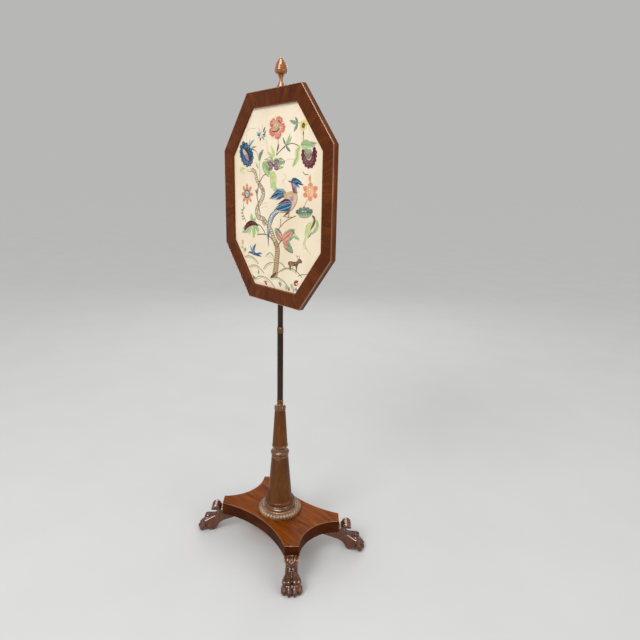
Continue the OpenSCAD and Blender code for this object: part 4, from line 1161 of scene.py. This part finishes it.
        ("line", "dark_green", 1.1, 1, [(118, 147), (136, 148), (159, 147), (178, 149)]),
        ("burst", "rose orange", (34, 33, 8, 90, 0.3, 0.8), 0, [(-144, 14)]),
        ("rays", "red_coral", (34, 33, 8, 90, 0.4, 0.86), 1, [(-144, 14)]),
        ("rays", "coral", (34, 33, 16, 101, 0.42, 0.66), 1, [(-144, 14)]),
        ("disc", "cream teal", (15, 14), 2, [(-144, 15)]),
        ("line", "petrol", 1.3, 3, [(-159, 16), (-152, 24), (-139, 25), (-130, 17), (-134, 7), (-147, 3),
          (-156, 7), (-159, 16)]),
        ("line", "teal", 1.6, 3, [(-150, 16), (-144, 20), (-138, 15), (-142, 9), (-149, 10), (-150, 16)]),
        ("knots", "petrol", 1.8, 4, [(-144, 15)]),
        ("line", "brown", 1.6, 0, [(-162, -11), (-166, -28), (-169, -45), (-153, -69)]),
        ("leaf", "brown sage", 2.4, 0, [(-167, -37), (-175, -34), (-180, -32)]),
        ("leaf", "brown sage", 2.4, 0, [(-168, -45), (-175, -44), (-182, -42)]),
        ("leaf", "brown sage", 2.4, 0, [(-165, -52), (-172, -54), (-179, -53)]),
        ("leaf", "brown sage", 2.4, 0, [(-166, -32), (-161, -28), (-158, -24)]),
        ("leaf", "brown sage", 2.4, 0, [(-162, -59), (-168, -62), (-175, -61)]),
        ("burst", "rose orange", (34, 25, 6, 30, 0.26, 0.42), 0, [(156, 27)]),
        ("rays", "red_coral", (34, 25, 6, 30, 0.4, 0.72), 1, [(156, 27)]),
        ("rays", "pale_yellow", (31, 23, 12, 15, 0.4, 0.6), 1, [(156, 28)]),
        ("disc", "pale_yellow yellow", (8.5, 7), 2, [(155, 28)]),
        ("line", "olive", 1.0, 3, [(149, 28), (155, 31), (161, 28), (155, 23), (149, 28)]),
        ("line", "brown", 1.6, 0, [(145, 7), (139, -2), (130, -13)]),
        ("line", "orange", 2.2, 0, [(156, 48), (157, 59), (155, 72)]),
        ("leaf", "tan orange", 4, 0, [(156, 53), (152, 61), (156, 69)]),
        ("line", "bark", 1.8, 0, [(125, 79), (130, 73), (140, 71), (148, 72)]),
        ("blob", "sage grey_green", 88, 0, [(101, -31), (117, -28), (136, -28), (154, -27), (165, -27),
          (156, -37), (136, -42), (115, -41)]),
        ("disc", "dark_green grey_green", (8.5, 6.5), 1, [(104, -27), (117, -21), (132, -18), (147, -19),
          (160, -23)]),
        ("line", "petrol", 1.8, 2, [(97, -28), (117, -29), (137, -26), (165, -27)]),
        ("line", "cream", 1.0, 1, [(111, -31), (112, -40)]),
        ("line", "cream", 1.0, 1, [(122, -31), (123, -39)]),
        ("line", "cream", 1.0, 1, [(132, -30), (133, -39)]),
        ("line", "cream", 1.0, 1, [(142, -29), (143, -38)]),
        ("line", "cream", 1.0, 1, [(153, -29), (154, -38)]),
        ("leaf", "bark olive", 5, 1, [(166, -34), (176, -42), (171, -57), (159, -72)]),
        ("leaf", "yellow_green light_green", 9, 0, [(169, -52), (152, -63), (143, -79), (138, -97)]),
        ("leaf", "light_green sage", 6, 0, [(176, -42), (188, -54), (181, -69), (161, -85)]),
        ("leaf", "grey_green sage", 3, 1, [(165, -77), (157, -87), (146, -94)]),
        ("line", "yellow_green", 1.8, 1, [(138, -94), (134, -107), (139, -121), (161, -134)]),
        ("line", "light_green", 1.6, 1, [(143, -94), (138, -108), (145, -123), (162, -136)]),
        ("line", "yellow_green", 1.4, 1, [(135, -100), (130, -113), (136, -125)]),
        ("line", "olive", 1.2, 1, [(176, -40), (169, -62), (149, -87)]),
        ("leaf", "light_green leaf_green", 10, 0, [(-118, -75), (-121, -59), (-122, -42)]),
        ("leaf", "leaf_green light_green", 6, 0, [(-112, -72), (-104, -60), (-103, -51)]),
        ("leaf", "light_green leaf_green", 9, 0, [(-115, -79), (-108, -91), (-112, -117)]),
        ("leaf", "leaf_green light_green", 7, 0, [(-108, -78), (-90, -87), (-86, -102)]),
        ("leaf", "light_green sage", 8, 0, [(-124, -81), (-143, -94), (-178, -103)]),
        ("leaf", "leaf_green sage", 6, 0, [(-132, -79), (-156, -85), (-172, -93)]),
        ("leaf", "light_green", 6, 0, [(-121, -82), (-131, -96), (-137, -109)]),
        ("leaf", "plum wine", 8.5, 2, [(-160, -96), (-146, -80), (-116, -71), (-83, -76)]),
        ("line", "bark", 1.8, 3, [(-161, -97), (-151, -86), (-136, -77)]),
        ("leaf", "sage grey_green", 15, 0, [(35, -111), (17, -95), (0, -78)]),
        ("leaf", "coral rose", 9.9, 1, [(33, -109), (18, -97), (10, -88)]),
        ("line", "red_coral", 1.2, 2, [(33, -109), (18, -97), (10, -88)]),
        ("leaf", "sage grey_green", 17, 0, [(36, -110), (64, -94), (92, -75)]),
        ("leaf", "coral rose", 11.22, 1, [(39, -107), (62, -93), (81, -81)]),
        ("line", "red_coral", 1.2, 2, [(39, -107), (62, -93), (81, -81)]),
        ("leaf", "sage grey_green", 15, 0, [(37, -112), (61, -124), (86, -142)]),
        ("leaf", "coral rose", 9.9, 1, [(39, -113), (54, -122), (64, -129)]),
        ("line", "red_coral", 1.2, 2, [(39, -113), (54, -122), (64, -129)]),
        ("line", "dark_green", 1.3, 1, [(2, -80), (15, -79), (22, -82)]),
        ("line", "dark_green", 1.3, 1, [(78, -78), (88, -83), (95, -89)]),
        ("line", "dark_green", 1.3, 1, [(58, -130), (66, -138), (79, -141)]),
        ("line", "dark_green", 1.3, 1, [(-2, -84), (4, -93), (13, -98)]),
        ("line", "dark_green", 1.3, 1, [(77, -124), (82, -131), (84, -139)]),
        ("line", "dark_green", 1.3, 1, [(73, -106), (84, -99), (93, -92)]),
        ("leaf", "light_green leaf_green", 4.5, 0, [(89, -98), (102, -98), (114, -103)]),
        ("leaf", "light_green", 2.8, 0, [(84, -95), (95, -93), (105, -93)]),
        ("burst", "yellow orange", (8, 9, 5, 15, 0.2, 0.5), 0, [(-173, -133)]),
        ("line", "sage", 1.4, 0, [(-174, -141), (-169, -151), (-161, -166)]),
        ("leaf", "sage", 2.4, 0, [(-171, -152), (-177, -150), (-182, -149)]),
        ("leaf", "grey_green", 2.4, 0, [(-167, -158), (-160, -155), (-156, -150)]),
    ],
    "creatures": [
        ("blob", "tan pink_cream", -50, 0, [(38, 18), (53, 23), (72, 27), (90, 27), (99, 21), (101, 10),
          (95, -5), (80, -21), (60, -28), (37, -32), (16, -30), (26, -16), (40, -2), (40, 9)]),
        ("line", "brown", 1.4, 1, [(99, 21), (102, 9), (96, -6), (80, -22), (60, -29), (37, -32), (17,
          -31)]),
        ("blob", "pink_cream lilac", -40, 1, [(60, 18), (74, 19), (85, 16), (83, 6), (72, 1), (61, 6)]),
        ("leaf", "sky", 2.4, 2, [(75, -1), (77, 6), (71, 13)]),
        ("leaf", "lilac", 2.4, 2, [(80, 1), (84, 7), (83, 14)]),
        ("leaf", "sky cream", 6.5, 1, [(10, -28), (-12, -40), (-26, -60), (-33, -83)]),
        ("leaf", "blue petrol", 3.4, 1, [(17, -32), (-6, -45), (-18, -64), (-27, -85)]),
        ("leaf", "sky", 3.6, 1, [(-29, -76), (-36, -93), (-39, -112)]),
        ("leaf", "petrol", 2.4, 1, [(-24, -79), (-30, -97), (-34, -120), (-31, -135)]),
        ("leaf", "petrol blue", 2.2, 1, [(1, -27), (-23, -43), (-35, -66), (-40, -88)]),
        ("line", "cream", 1.4, 2, [(6, -31), (-15, -46), (-25, -67), (-31, -87)]),
        ("line", "cream", 1.1, 2, [(12, -33), (-8, -48), (-20, -68), (-29, -92)]),
        ("blob", "mauve lilac", 80, 1, [(75, 48), (87, 50), (96, 43), (100, 32), (102, 22), (90, 22), (82,
          29), (79, 38)]),
        ("line", "plum", 2.6, 2, [(76, 47), (80, 39), (83, 29), (90, 22)]),
        ("line", "lilac", 1.8, 2, [(93, 43), (97, 34), (99, 24)]),
        ("blob", "mauve plum", 10, 1, [(71, 53), (79, 56), (89, 54), (91, 49), (82, 46), (74, 48)]),
        ("leaf", "wine", 2.2, 2, [(75, 51), (69, 53), (62, 54)]),
        ("knots", "ink", 1.4, 3, [(80, 51)]),
        ("leaf", "blue", 3.2, 3, [(76, 54), (86, 60), (103, 59)]),
        ("leaf", "petrol", 3.0, 3, [(82, 55), (101, 57), (120, 50)]),
        ("leaf", "sky", 2.8, 3, [(84, 53), (104, 53), (119, 47)]),
        ("leaf", "navy", 3.2, 3, [(85, 52), (106, 49), (128, 44)]),
        ("leaf", "blue", 2.8, 3, [(85, 50), (99, 45), (112, 37)]),
        ("leaf", "sky", 2.0, 3, [(87, 48), (96, 43), (101, 38)]),
        ("leaf", "olive tan", 6, 1, [(51, 20), (39, 27), (21, 31)]),
        ("leaf", "sky", 2.6, 2, [(41, 27), (15, 31), (-8, 27)]),
        ("leaf", "petrol", 3.2, 2, [(40, 24), (14, 27), (-10, 17)]),
        ("leaf", "sky", 2.4, 2, [(39, 22), (12, 23), (-20, 11)]),
        ("leaf", "navy", 3.4, 2, [(41, 20), (12, 20), (-27, 3)]),
        ("leaf", "blue", 3.0, 2, [(41, 18), (18, 16), (-16, 3)]),
        ("leaf", "sky", 2.4, 2, [(41, 16), (21, 12), (-3, 2)]),
        ("leaf", "navy", 3.0, 2, [(43, 15), (26, 11), (7, 1)]),
        ("leaf", "blue", 2.4, 2, [(43, 13), (30, 9), (19, 3)]),
        ("leaf", "plum", 3.4, 3, [(71, 3), (47, 2), (13, -11)]),
        ("leaf", "lilac", 2.4, 3, [(75, 0), (50, -3), (16, -14)]),
        ("leaf", "navy", 3.4, 3, [(77, -2), (47, -6), (6, -19)]),
        ("leaf", "sky", 2.6, 3, [(78, -4), (47, -9), (1, -23)]),
        ("leaf", "blue", 3.6, 3, [(78, -6), (50, -12), (-3, -26)]),
        ("leaf", "navy", 2.8, 3, [(78, -9), (52, -16), (6, -27)]),
        ("leaf", "sky", 2.8, 3, [(77, -12), (53, -19), (14, -28)]),
        ("leaf", "blue", 3.2, 3, [(76, -15), (57, -22), (26, -28)]),
        ("leaf", "petrol", 2.4, 3, [(73, -18), (57, -25), (37, -28)]),
        ("leaf", "brown bark", 4, 1, [(72, -21), (60, -31), (43, -41)]),
        ("line", "bark", 1.8, 1, [(55, -32), (47, -38), (42, -43)]),
        ("line", "bark", 1.8, 1, [(68, -28), (65, -36), (64, -42)]),
        ("line", "brown", 1.5, 1, [(36, -42), (53, -43), (80, -43)]),
        ("leaf", "blue navy", 5, 0, [(-137, -161), (-109, -163), (-69, -168)]),
        ("leaf", "sky blue", 4.5, 0, [(-116, -161), (-124, -150), (-130, -139)]),
        ("leaf", "blue navy", 4.5, 0, [(-109, -160), (-109, -146), (-99, -132)]),
        ("leaf", "sky", 2.6, 1, [(-112, -159), (-115, -149), (-115, -139)]),
        ("leaf", "blue", 3, 0, [(-93, -162), (-79, -159), (-66, -159)]),
        ("knots", "lilac", 2.6, 1, [(-112, -162)]),
        ("leaf", "ink", 1.4, 1, [(-134, -161), (-139, -164), (-140, -167)]),
        ("blob", "brown bark", 5, 0, [(62, -169), (74, -166), (94, -165), (105, -161), (107, -156), (115,
          -154), (125, -159), (124, -165), (113, -167), (106, -176), (102, -192), (97, -193), (97, -178),
          (79, -179), (76, -191), (69, -190), (68, -180), (63, -177)]),
        ("line", "ink", 1.0, 1, [(62, -170), (74, -166), (94, -166), (106, -161)]),
        ("knots", "cream", 1.3, 2, [(75, -171), (85, -172), (97, -169), (80, -176)]),
        ("line", "coral", 1.5, 0, [(107, -156), (103, -152), (99, -144)]),
        ("line", "coral", 1.5, 0, [(113, -155), (114, -150), (114, -144)]),
        ("line", "brown", 1.3, 0, [(102, -149), (107, -149), (110, -146)]),
        ("line", "bark", 1.6, 0, [(84, -177), (86, -183), (79, -187)]),
        ("line", "olive", 2.4, 0, [(-161, -179), (-145, -174), (-123, -174), (-102, -181), (-86, -193)]),
        ("line", "olive", 2.2, 0, [(-138, -209), (-119, -200), (-95, -199), (-74, -207), (-56, -218)]),
        ("line", "olive", 2.2, 0, [(-60, -205), (-45, -190), (-27, -182), (-9, -179)]),
        ("line", "olive", 2.2, 0, [(19, -175), (34, -178), (50, -188)]),
        ("line", "olive", 2.4, 0, [(14, -207), (33, -195), (59, -187), (86, -187), (106, -193), (127,
          -205)]),
        ("line", "olive", 2.4, 0, [(-106, -244), (-89, -232), (-66, -228), (-41, -231), (-22, -239), (1,
          -255)]),
        ("line", "olive", 2.4, 0, [(-26, -228), (-6, -223), (17, -221), (40, -227), (57, -237), (69, -250)]),
        ("line", "olive", 2.2, 0, [(108, -204), (125, -197), (152, -193)]),
        ("line", "olive", 2.0, 0, [(-127, -229), (-111, -235), (-97, -239)]),
        ("line", "sage", 1.5, 0, [(-155, -181), (-138, -178), (-118, -179), (-99, -190)]),
        ("line", "sage", 1.5, 0, [(-131, -210), (-115, -204), (-96, -204), (-76, -211)]),
        ("line", "sage", 1.5, 0, [(-54, -206), (-40, -193), (-23, -185)]),
        ("line", "sage", 1.5, 0, [(-99, -245), (-84, -236), (-65, -232), (-45, -235), (-29, -243)]),
        ("line", "sage", 1.5, 0, [(27, -202), (53, -191), (82, -191), (103, -198)]),
        ("line", "sage", 1.5, 0, [(-21, -231), (0, -226), (18, -225), (36, -231)]),
        ("line", "grey_green", 1.6, 0, [(-48, -166), (-37, -158), (-24, -154), (-12, -160), (-7, -173)]),
        ("line", "sage", 1.6, 0, [(-43, -160), (-31, -152), (-16, -153), (-6, -161)]),
        ("line", "light_green", 1.3, 0, [(-38, -169), (-27, -161), (-16, -166)]),
        ("leaf", "red coral", 4, 0, [(-57, -242), (-48, -243), (-40, -241)]),
        ("leaf", "red", 3, 0, [(-51, -248), (-46, -249), (-40, -247)]),
        ("leaf", "red wine", 4.5, 0, [(110, -218), (97, -222), (93, -229), (106, -231)]),
        ("leaf", "coral", 3, 1, [(106, -224), (109, -227), (112, -228)]),
        ("tuft", "leaf_green", 15, 0, [(-86, -225), (80, -242), (-159, -164)]),
        ("tuft", "olive", 14, 0, [(-111, -245), (67, -253)]),
        ("tuft", "sage", 16, 0, [(27, -247), (89, -251), (55, -251)]),
        ("tuft", "teal", 13, 0, [(23, -243), (101, -249)]),
    ],
}


# Woods, metals and cloth of this object

MAHOGANY = (linear(46, 20, 5), linear(92, 44, 13), linear(130, 72, 24))
MAHOGANY_DARK = (linear(42, 19, 9), linear(78, 37, 17), linear(112, 58, 28))
MAHOGANY_WARM = (linear(62, 24, 2), linear(120, 57, 8), linear(154, 83, 14))
MAHOGANY_POLE = (linear(26, 11, 6), linear(45, 24, 16), linear(80, 49, 35))
COLUMN_WOOD = (linear(58, 32, 13), linear(93, 54, 24), linear(120, 75, 37))


def metal(name, colour, shade, rough=(0.25, 0.45)):
    material, tree, shader = new_material(name)
    at = node(tree, "ShaderNodeTexCoord").outputs["Object"]
    spots = noise(tree, at, 160.0, 5.0, 0.65)
    tree.links.new(ramp(tree, spread(tree, spots, 0.35, 0.68), [(0.0, shade), (1.0, colour)]),
                   shader.inputs["Base Color"])
    tree.links.new(spread(tree, spots, 0.35, 0.65, rough[1], rough[0]), shader.inputs["Roughness"])
    scratches = noise(tree, node(tree, "ShaderNodeMapping", {"Vector": at, "Scale": (1, 1, 14)}).outputs[0],
                      260.0, 2.0)
    relief = node(tree, "ShaderNodeBump", {"Height": scratches, "Strength": 0.15, "Distance": 0.0002})
    tree.links.new(relief.outputs[0], shader.inputs["Normal"])
    shader.inputs["Metallic"].default_value = 1.0
    return material


def weave(name):
    """Cream linen twill with slubs, faint stains and a fine relief."""
    material, tree, shader = new_material(name)
    at = node(tree, "ShaderNodeTexCoord").outputs["Object"]
    drift = node(tree, "ShaderNodeTexNoise", {"Vector": at, "Scale": 60.0, "Detail": 2.0})
    bent = node(tree, "ShaderNodeVectorMath", {0: drift.outputs["Color"], 1: (0.0006,) * 3, 2: at},
                operation="MULTIPLY_ADD").outputs[0]
    warp = node(tree, "ShaderNodeTexWave", {"Vector": bent, "Scale": 380.0, "Distortion": 0.4, "Detail": 1.0},
                bands_direction="X").outputs["Fac"]
    weft = node(tree, "ShaderNodeTexWave", {"Vector": bent, "Scale": 380.0, "Distortion": 0.4, "Detail": 1.0},
                bands_direction="Z").outputs["Fac"]
    twill = node(tree, "ShaderNodeTexWave", {"Vector": bent, "Scale": 150.0}, bands_direction="DIAGONAL").outputs["Fac"]
    threads = math_node(tree, "ADD", math_node(tree, "MULTIPLY", warp, weft), math_node(tree, "MULTIPLY", twill, 0.4))
    slubs = noise(tree, node(tree, "ShaderNodeMapping", {"Vector": at, "Scale": (0.08, 1, 1)}).outputs[0], 900.0, 2.0)
    stains = noise(tree, at, 7.0, 4.0, 0.6)
    colour = ramp(tree, spread(tree, stains, 0.3, 0.72), [(0.0, linear(232, 215, 186)), (0.6, linear(240, 226, 203)),
                                                          (1.0, linear(243, 231, 211))])
    colour = mix(tree, spread(tree, threads, 0.9, 0.1, 0.0, 0.16), colour, linear(196, 176, 136))
    colour = mix(tree, spread(tree, slubs, 0.6, 0.75, 0.0, 0.25), colour, linear(222, 204, 164))
    tree.links.new(colour, shader.inputs["Base Color"])
    height = math_node(tree, "ADD", threads, math_node(tree, "MULTIPLY", slubs, 0.5))
    relief = node(tree, "ShaderNodeBump", {"Height": height, "Strength": 0.4, "Distance": 0.0003})
    tree.links.new(relief.outputs[0], shader.inputs["Normal"])
    shader.inputs["Roughness"].default_value = 0.9
    shader.inputs["Specular IOR Level"].default_value = 0.2
    return material


def yarn(name):
    """Twisted wool in the colour painted on the stitches."""
    material, tree, shader = new_material(name)
    at = node(tree, "ShaderNodeTexCoord").outputs["Object"]
    painted = node(tree, "ShaderNodeAttribute", attribute_name="yarn").outputs["Color"]
    fuzz = noise(tree, at, 1400.0, 3.0, 0.7)
    faded = noise(tree, at, 22.0, 3.0)
    colour = mix(tree, spread(tree, faded, 0.5, 0.8, 0.0, 0.16), painted, linear(226, 212, 178))
    colour = mix(tree, spread(tree, fuzz, 0.5, 0.25, 0.0, 0.3), colour, linear(40, 34, 30), "MULTIPLY")
    tree.links.new(colour, shader.inputs["Base Color"])
    relief = node(tree, "ShaderNodeBump", {"Height": fuzz, "Strength": 0.35, "Distance": 0.0002})
    tree.links.new(relief.outputs[0], shader.inputs["Normal"])
    shader.inputs["Roughness"].default_value = 0.85
    shader.inputs["Specular IOR Level"].default_value = 0.2
    return material


def dress(name, material):
    """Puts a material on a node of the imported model."""
    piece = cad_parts[name]
    piece.data.materials.clear()
    piece.data.materials.append(material)
    for face in piece.data.polygons:
        face.material_index = 0
    return piece


BASE_DEGREES = math.degrees(BASE_TURN)
MOULDING_TOP = (PLATFORM_TOP + 33.0) * MM
plain_wood = wood("plain_wood", linear(120, 88, 52), linear(160, 122, 78), linear(190, 152, 104), coat=0.0,
                  rough=(0.55, 0.7), turn=(0, 0, -BASE_DEGREES))
top_wood = wood("platform_top_wood", *MAHOGANY_WARM, turn=(0, 0, -BASE_DEGREES), figure=14.0, streak=150.0,
                contrast=0.6, coat=0.0, shine=0.06, rough=(0.36, 0.5), seed=0.31, veins=0.6, wear_shade_highlight="wear_shade_highlight")
edge_wood = wood("platform_edge_wood", linear(36, 13, 4), linear(68, 30, 9), linear(104, 49, 16),
                 turn=(0, 0, -BASE_DEGREES), coat=0.0, shine=0.05, rough=(0.4, 0.55), seed=0.9)
column_wood = wood("column_wood", *COLUMN_WOOD, turn=(0, 90, 0), figure=20.0, streak=380.0, contrast=0.5,
                   coat=0.0, shine=0.16, rough=(0.3, 0.42), seed=0.17)
carved_wood = wood("carved_wood", linear(42, 15, 3), linear(90, 42, 12), linear(127, 69, 27), turn=(0, 90, 0),
                   figure=26.0, streak=300.0, contrast=0.5, coat=1.0, rough=(0.2, 0.32), seed=0.63, wear_shade_highlight="wear_shade_highlight")
ring_wood = wood("carved_ring_wood", linear(80, 54, 36), linear(128, 94, 68), linear(166, 130, 100),
                 turn=(0, 90, 0), figure=30.0, coat=0.5, rough=(0.28, 0.42), seed=0.41, wear_shade_highlight="wear_shade_highlight")
# The arris wood is paler than the top's: its colour paints a highlight on the arris, on top of its real gloss.
highlit_arris_wood = wood("highlit_arris_wood", linear(96, 50, 22), linear(148, 92, 58), linear(182, 122, 84), figure=30.0, coat=1.0,
                  shine=0.5, rough=(0.2, 0.3), seed=0.37)
moulding_wood = wood("moulding_wood", linear(60, 32, 13), linear(100, 61, 32), linear(131, 88, 55), turn=(0, 90, 0),
                     figure=30.0, contrast=0.35, coat=1.0, rough=(0.24, 0.34), bump=0.04, seed=0.29)
pole_wood = wood("pole_wood", *MAHOGANY_POLE, turn=(0, 90, 0), figure=18.0, streak=520.0, stretch=0.03,
                 contrast=0.7, rough=(0.26, 0.4), coat=0.1, seed=0.77)
finial_wood = wood("finial_wood", linear(98, 50, 17), linear(152, 91, 42), linear(190, 127, 72),
                   turn=(0, 90, 0), figure=40.0, coat=0.7, shine=0.5, rough=(0.16, 0.28), seed=0.05)
facing_wood = wood("facing_wood", linear(50, 18, 2), linear(88, 38, 5), linear(124, 62, 14), figure=34.0,
                   streak=170.0, stretch=0.16, contrast=0.42, coat=0.0, shine=0.16, rough=(0.26, 0.4), veins=0.18,
                   place="grain", wear_shade_highlight="wear_shade_highlight")
# The bead's pale light tone is what the painted highlight on its crest pales towards.
bead_wood = wood("bead_wood", linear(50, 22, 6), linear(100, 50, 18), linear(158, 104, 72), figure=30.0, coat=1.0, shine=0.5, rough=(0.16, 0.28), place="grain", wear_shade_highlight="wear_shade_highlight")
brass = metal("brass", linear(176, 142, 82), linear(96, 70, 38))
dull_brass = metal("dull_brass", linear(150, 112, 76), linear(84, 56, 36), (0.3, 0.5))
iron = metal("iron", linear(176, 174, 168), linear(96, 90, 82), (0.3, 0.5))
linen_weave = weave("linen_weave")
wool = yarn("wool")

for name in ("platform_core", "foot_dowels", "tenon_wedge", "corner_keys", "backing_board"):
    dress(name, plain_wood)
dress("platform_side_veneer", edge_wood)
for name, above in (("lower_column", MOULDING_TOP), ("upper_column", (top_of("column_knop") + 13.0) * MM)):
    column = dress(name, column_wood)
    column.data.materials.append(moulding_wood)
    for face in column.data.polygons:
        face.material_index = int(face.center.z < above)
for name in ("column_knop", "capital"):
    dress(name, moulding_wood)
for name in ("pole_lower", "pole_upper"):
    dress(name, pole_wood)
dress("finial", finial_wood)
for name in ("pole_ring", "pole_ferrule"):
    dress(name, dull_brass)
for name in ("height_collar", "thumb_screw", "upper_sleeve", "lower_sleeve"):
    dress(name, brass)
for name in ("foot_screws", "back_brads", "sleeve_screws"):
    dress(name, iron)

MEMBER_ANGLES = {"rail_top": 0, "rail_bottom": 0, "stile_left": 90, "stile_right": 90,
                 "diagonal_top_left": 50, "diagonal_top_right": -50,
                 "diagonal_bottom_left": -50, "diagonal_bottom_right": 50}
for place, (name, angle) in enumerate(MEMBER_ANGLES.items()):
    dress(name, wood("wood_" + name, linear(60, 27, 7), linear(104, 54, 18), linear(136, 78, 30),
                     turn=(0, angle, 0), seed=0.21 * place, coat=0.0, shine=0.1, contrast=0.45, rough=(0.3, 0.44)))
dress("back_cover", wood("cover_wood", *MAHOGANY_DARK, turn=(0, 90, 0), figure=12.0, streak=200.0, coat=0.1,
                         rough=(0.4, 0.55), seed=0.57))

for name, corner in (("foot_front_left", (-1, -1)), ("foot_front_right", (1, -1)), ("foot_back_left", (-1, 1)),
                     ("foot_back_right", (1, 1))):
    make_foot(name, corner, carved_wood)
make_ring(ring_wood)
make_platform_top(top_wood, highlit_arris_wood)
make_veneer(facing_wood)
make_bead(bead_wood)
linen = make_linen(linen_weave)
embroideries = [make_embroidery(group, seed, wool) for seed, group in enumerate(MOTIFS)]


# Floor and light

def make_floor():
    data = bpy.data.meshes.new("floor")
    side = 40.0
    data.from_pydata([(-side, -side, 0), (side, -side, 0), (side, side, 0), (-side, side, 0)], [], [(0, 1, 2, 3)])
    floor = bpy.data.objects.new("floor", data)
    scene.collection.objects.link(floor)
    material, tree, shader = new_material("floor")
    at = node(tree, "ShaderNodeTexCoord").outputs["Object"]
    tree.links.new(ramp(tree, noise(tree, at, 3.0, 3.0), [(0.3, (0.615, 0.615, 0.61)), (0.7, (0.635, 0.635, 0.63))]),
                   shader.inputs["Base Color"])
    shader.inputs["Roughness"].default_value = 0.85
    shader.inputs["Specular IOR Level"].default_value = 0.0
    data.materials.append(material)


def area_light(name, at, aim, size, power, colour=(1, 1, 1)):
    data = bpy.data.lights.new(name, "AREA")
    data.shape = "DISK"
    data.size = size
    data.energy = power
    data.color = colour
    lamp = bpy.data.objects.new(name, data)
    scene.collection.objects.link(lamp)
    lamp.location = at
    lamp.rotation_mode = "QUATERNION"
    lamp.rotation_quaternion = (Vector(aim) - Vector(at)).to_track_quat("-Z", "Y")


WINDOW_WAY = (0.211, -0.366, 0.906)
WINDOW_STRENGTH = 27.0
BACKDROP = (0.474, 0.474, 0.47, 1)


def make_world():
    world = bpy.data.worlds.new("world")
    world.use_nodes = True
    scene.world = world
    tree = world.node_tree
    tree.nodes.clear()
    rays = node(tree, "ShaderNodeLightPath").outputs
    seen = math_node(tree, "MAXIMUM", math_node(tree, "MAXIMUM", rays["Is Camera Ray"], rays["Is Glossy Ray"]),
                     rays["Is Transmission Ray"])
    light = node(tree, "ShaderNodeBackground", {"Color": (1, 1, 1, 1), "Strength": 0.76})
    way = node(tree, "ShaderNodeTexCoord").outputs["Generated"]
    near = node(tree, "ShaderNodeVectorMath", {0: way, 1: WINDOW_WAY}, operation="DOT_PRODUCT").outputs["Value"]
    window = spread(tree, near, 0.9, 0.97, 1.0, WINDOW_STRENGTH)
    backdrop = node(tree, "ShaderNodeBackground", {"Color": BACKDROP, "Strength": window})
    both = node(tree, "ShaderNodeMixShader", {0: seen, 1: light.outputs[0], 2: backdrop.outputs[0]})
    output = node(tree, "ShaderNodeOutputWorld")
    tree.links.new(both.outputs[0], output.inputs["Surface"])


make_floor()
make_world()
area_light("key", (0.6, -2.6, 2.9), (0, 0, 0.7), 1.6, 55)
area_light("fill", (3.0, 0.6, 1.9), (0, 0, 0.8), 1.8, 16)
area_light("back", (-2.4, 2.2, 2.4), (0, 0, 0.8), 1.4, 18)
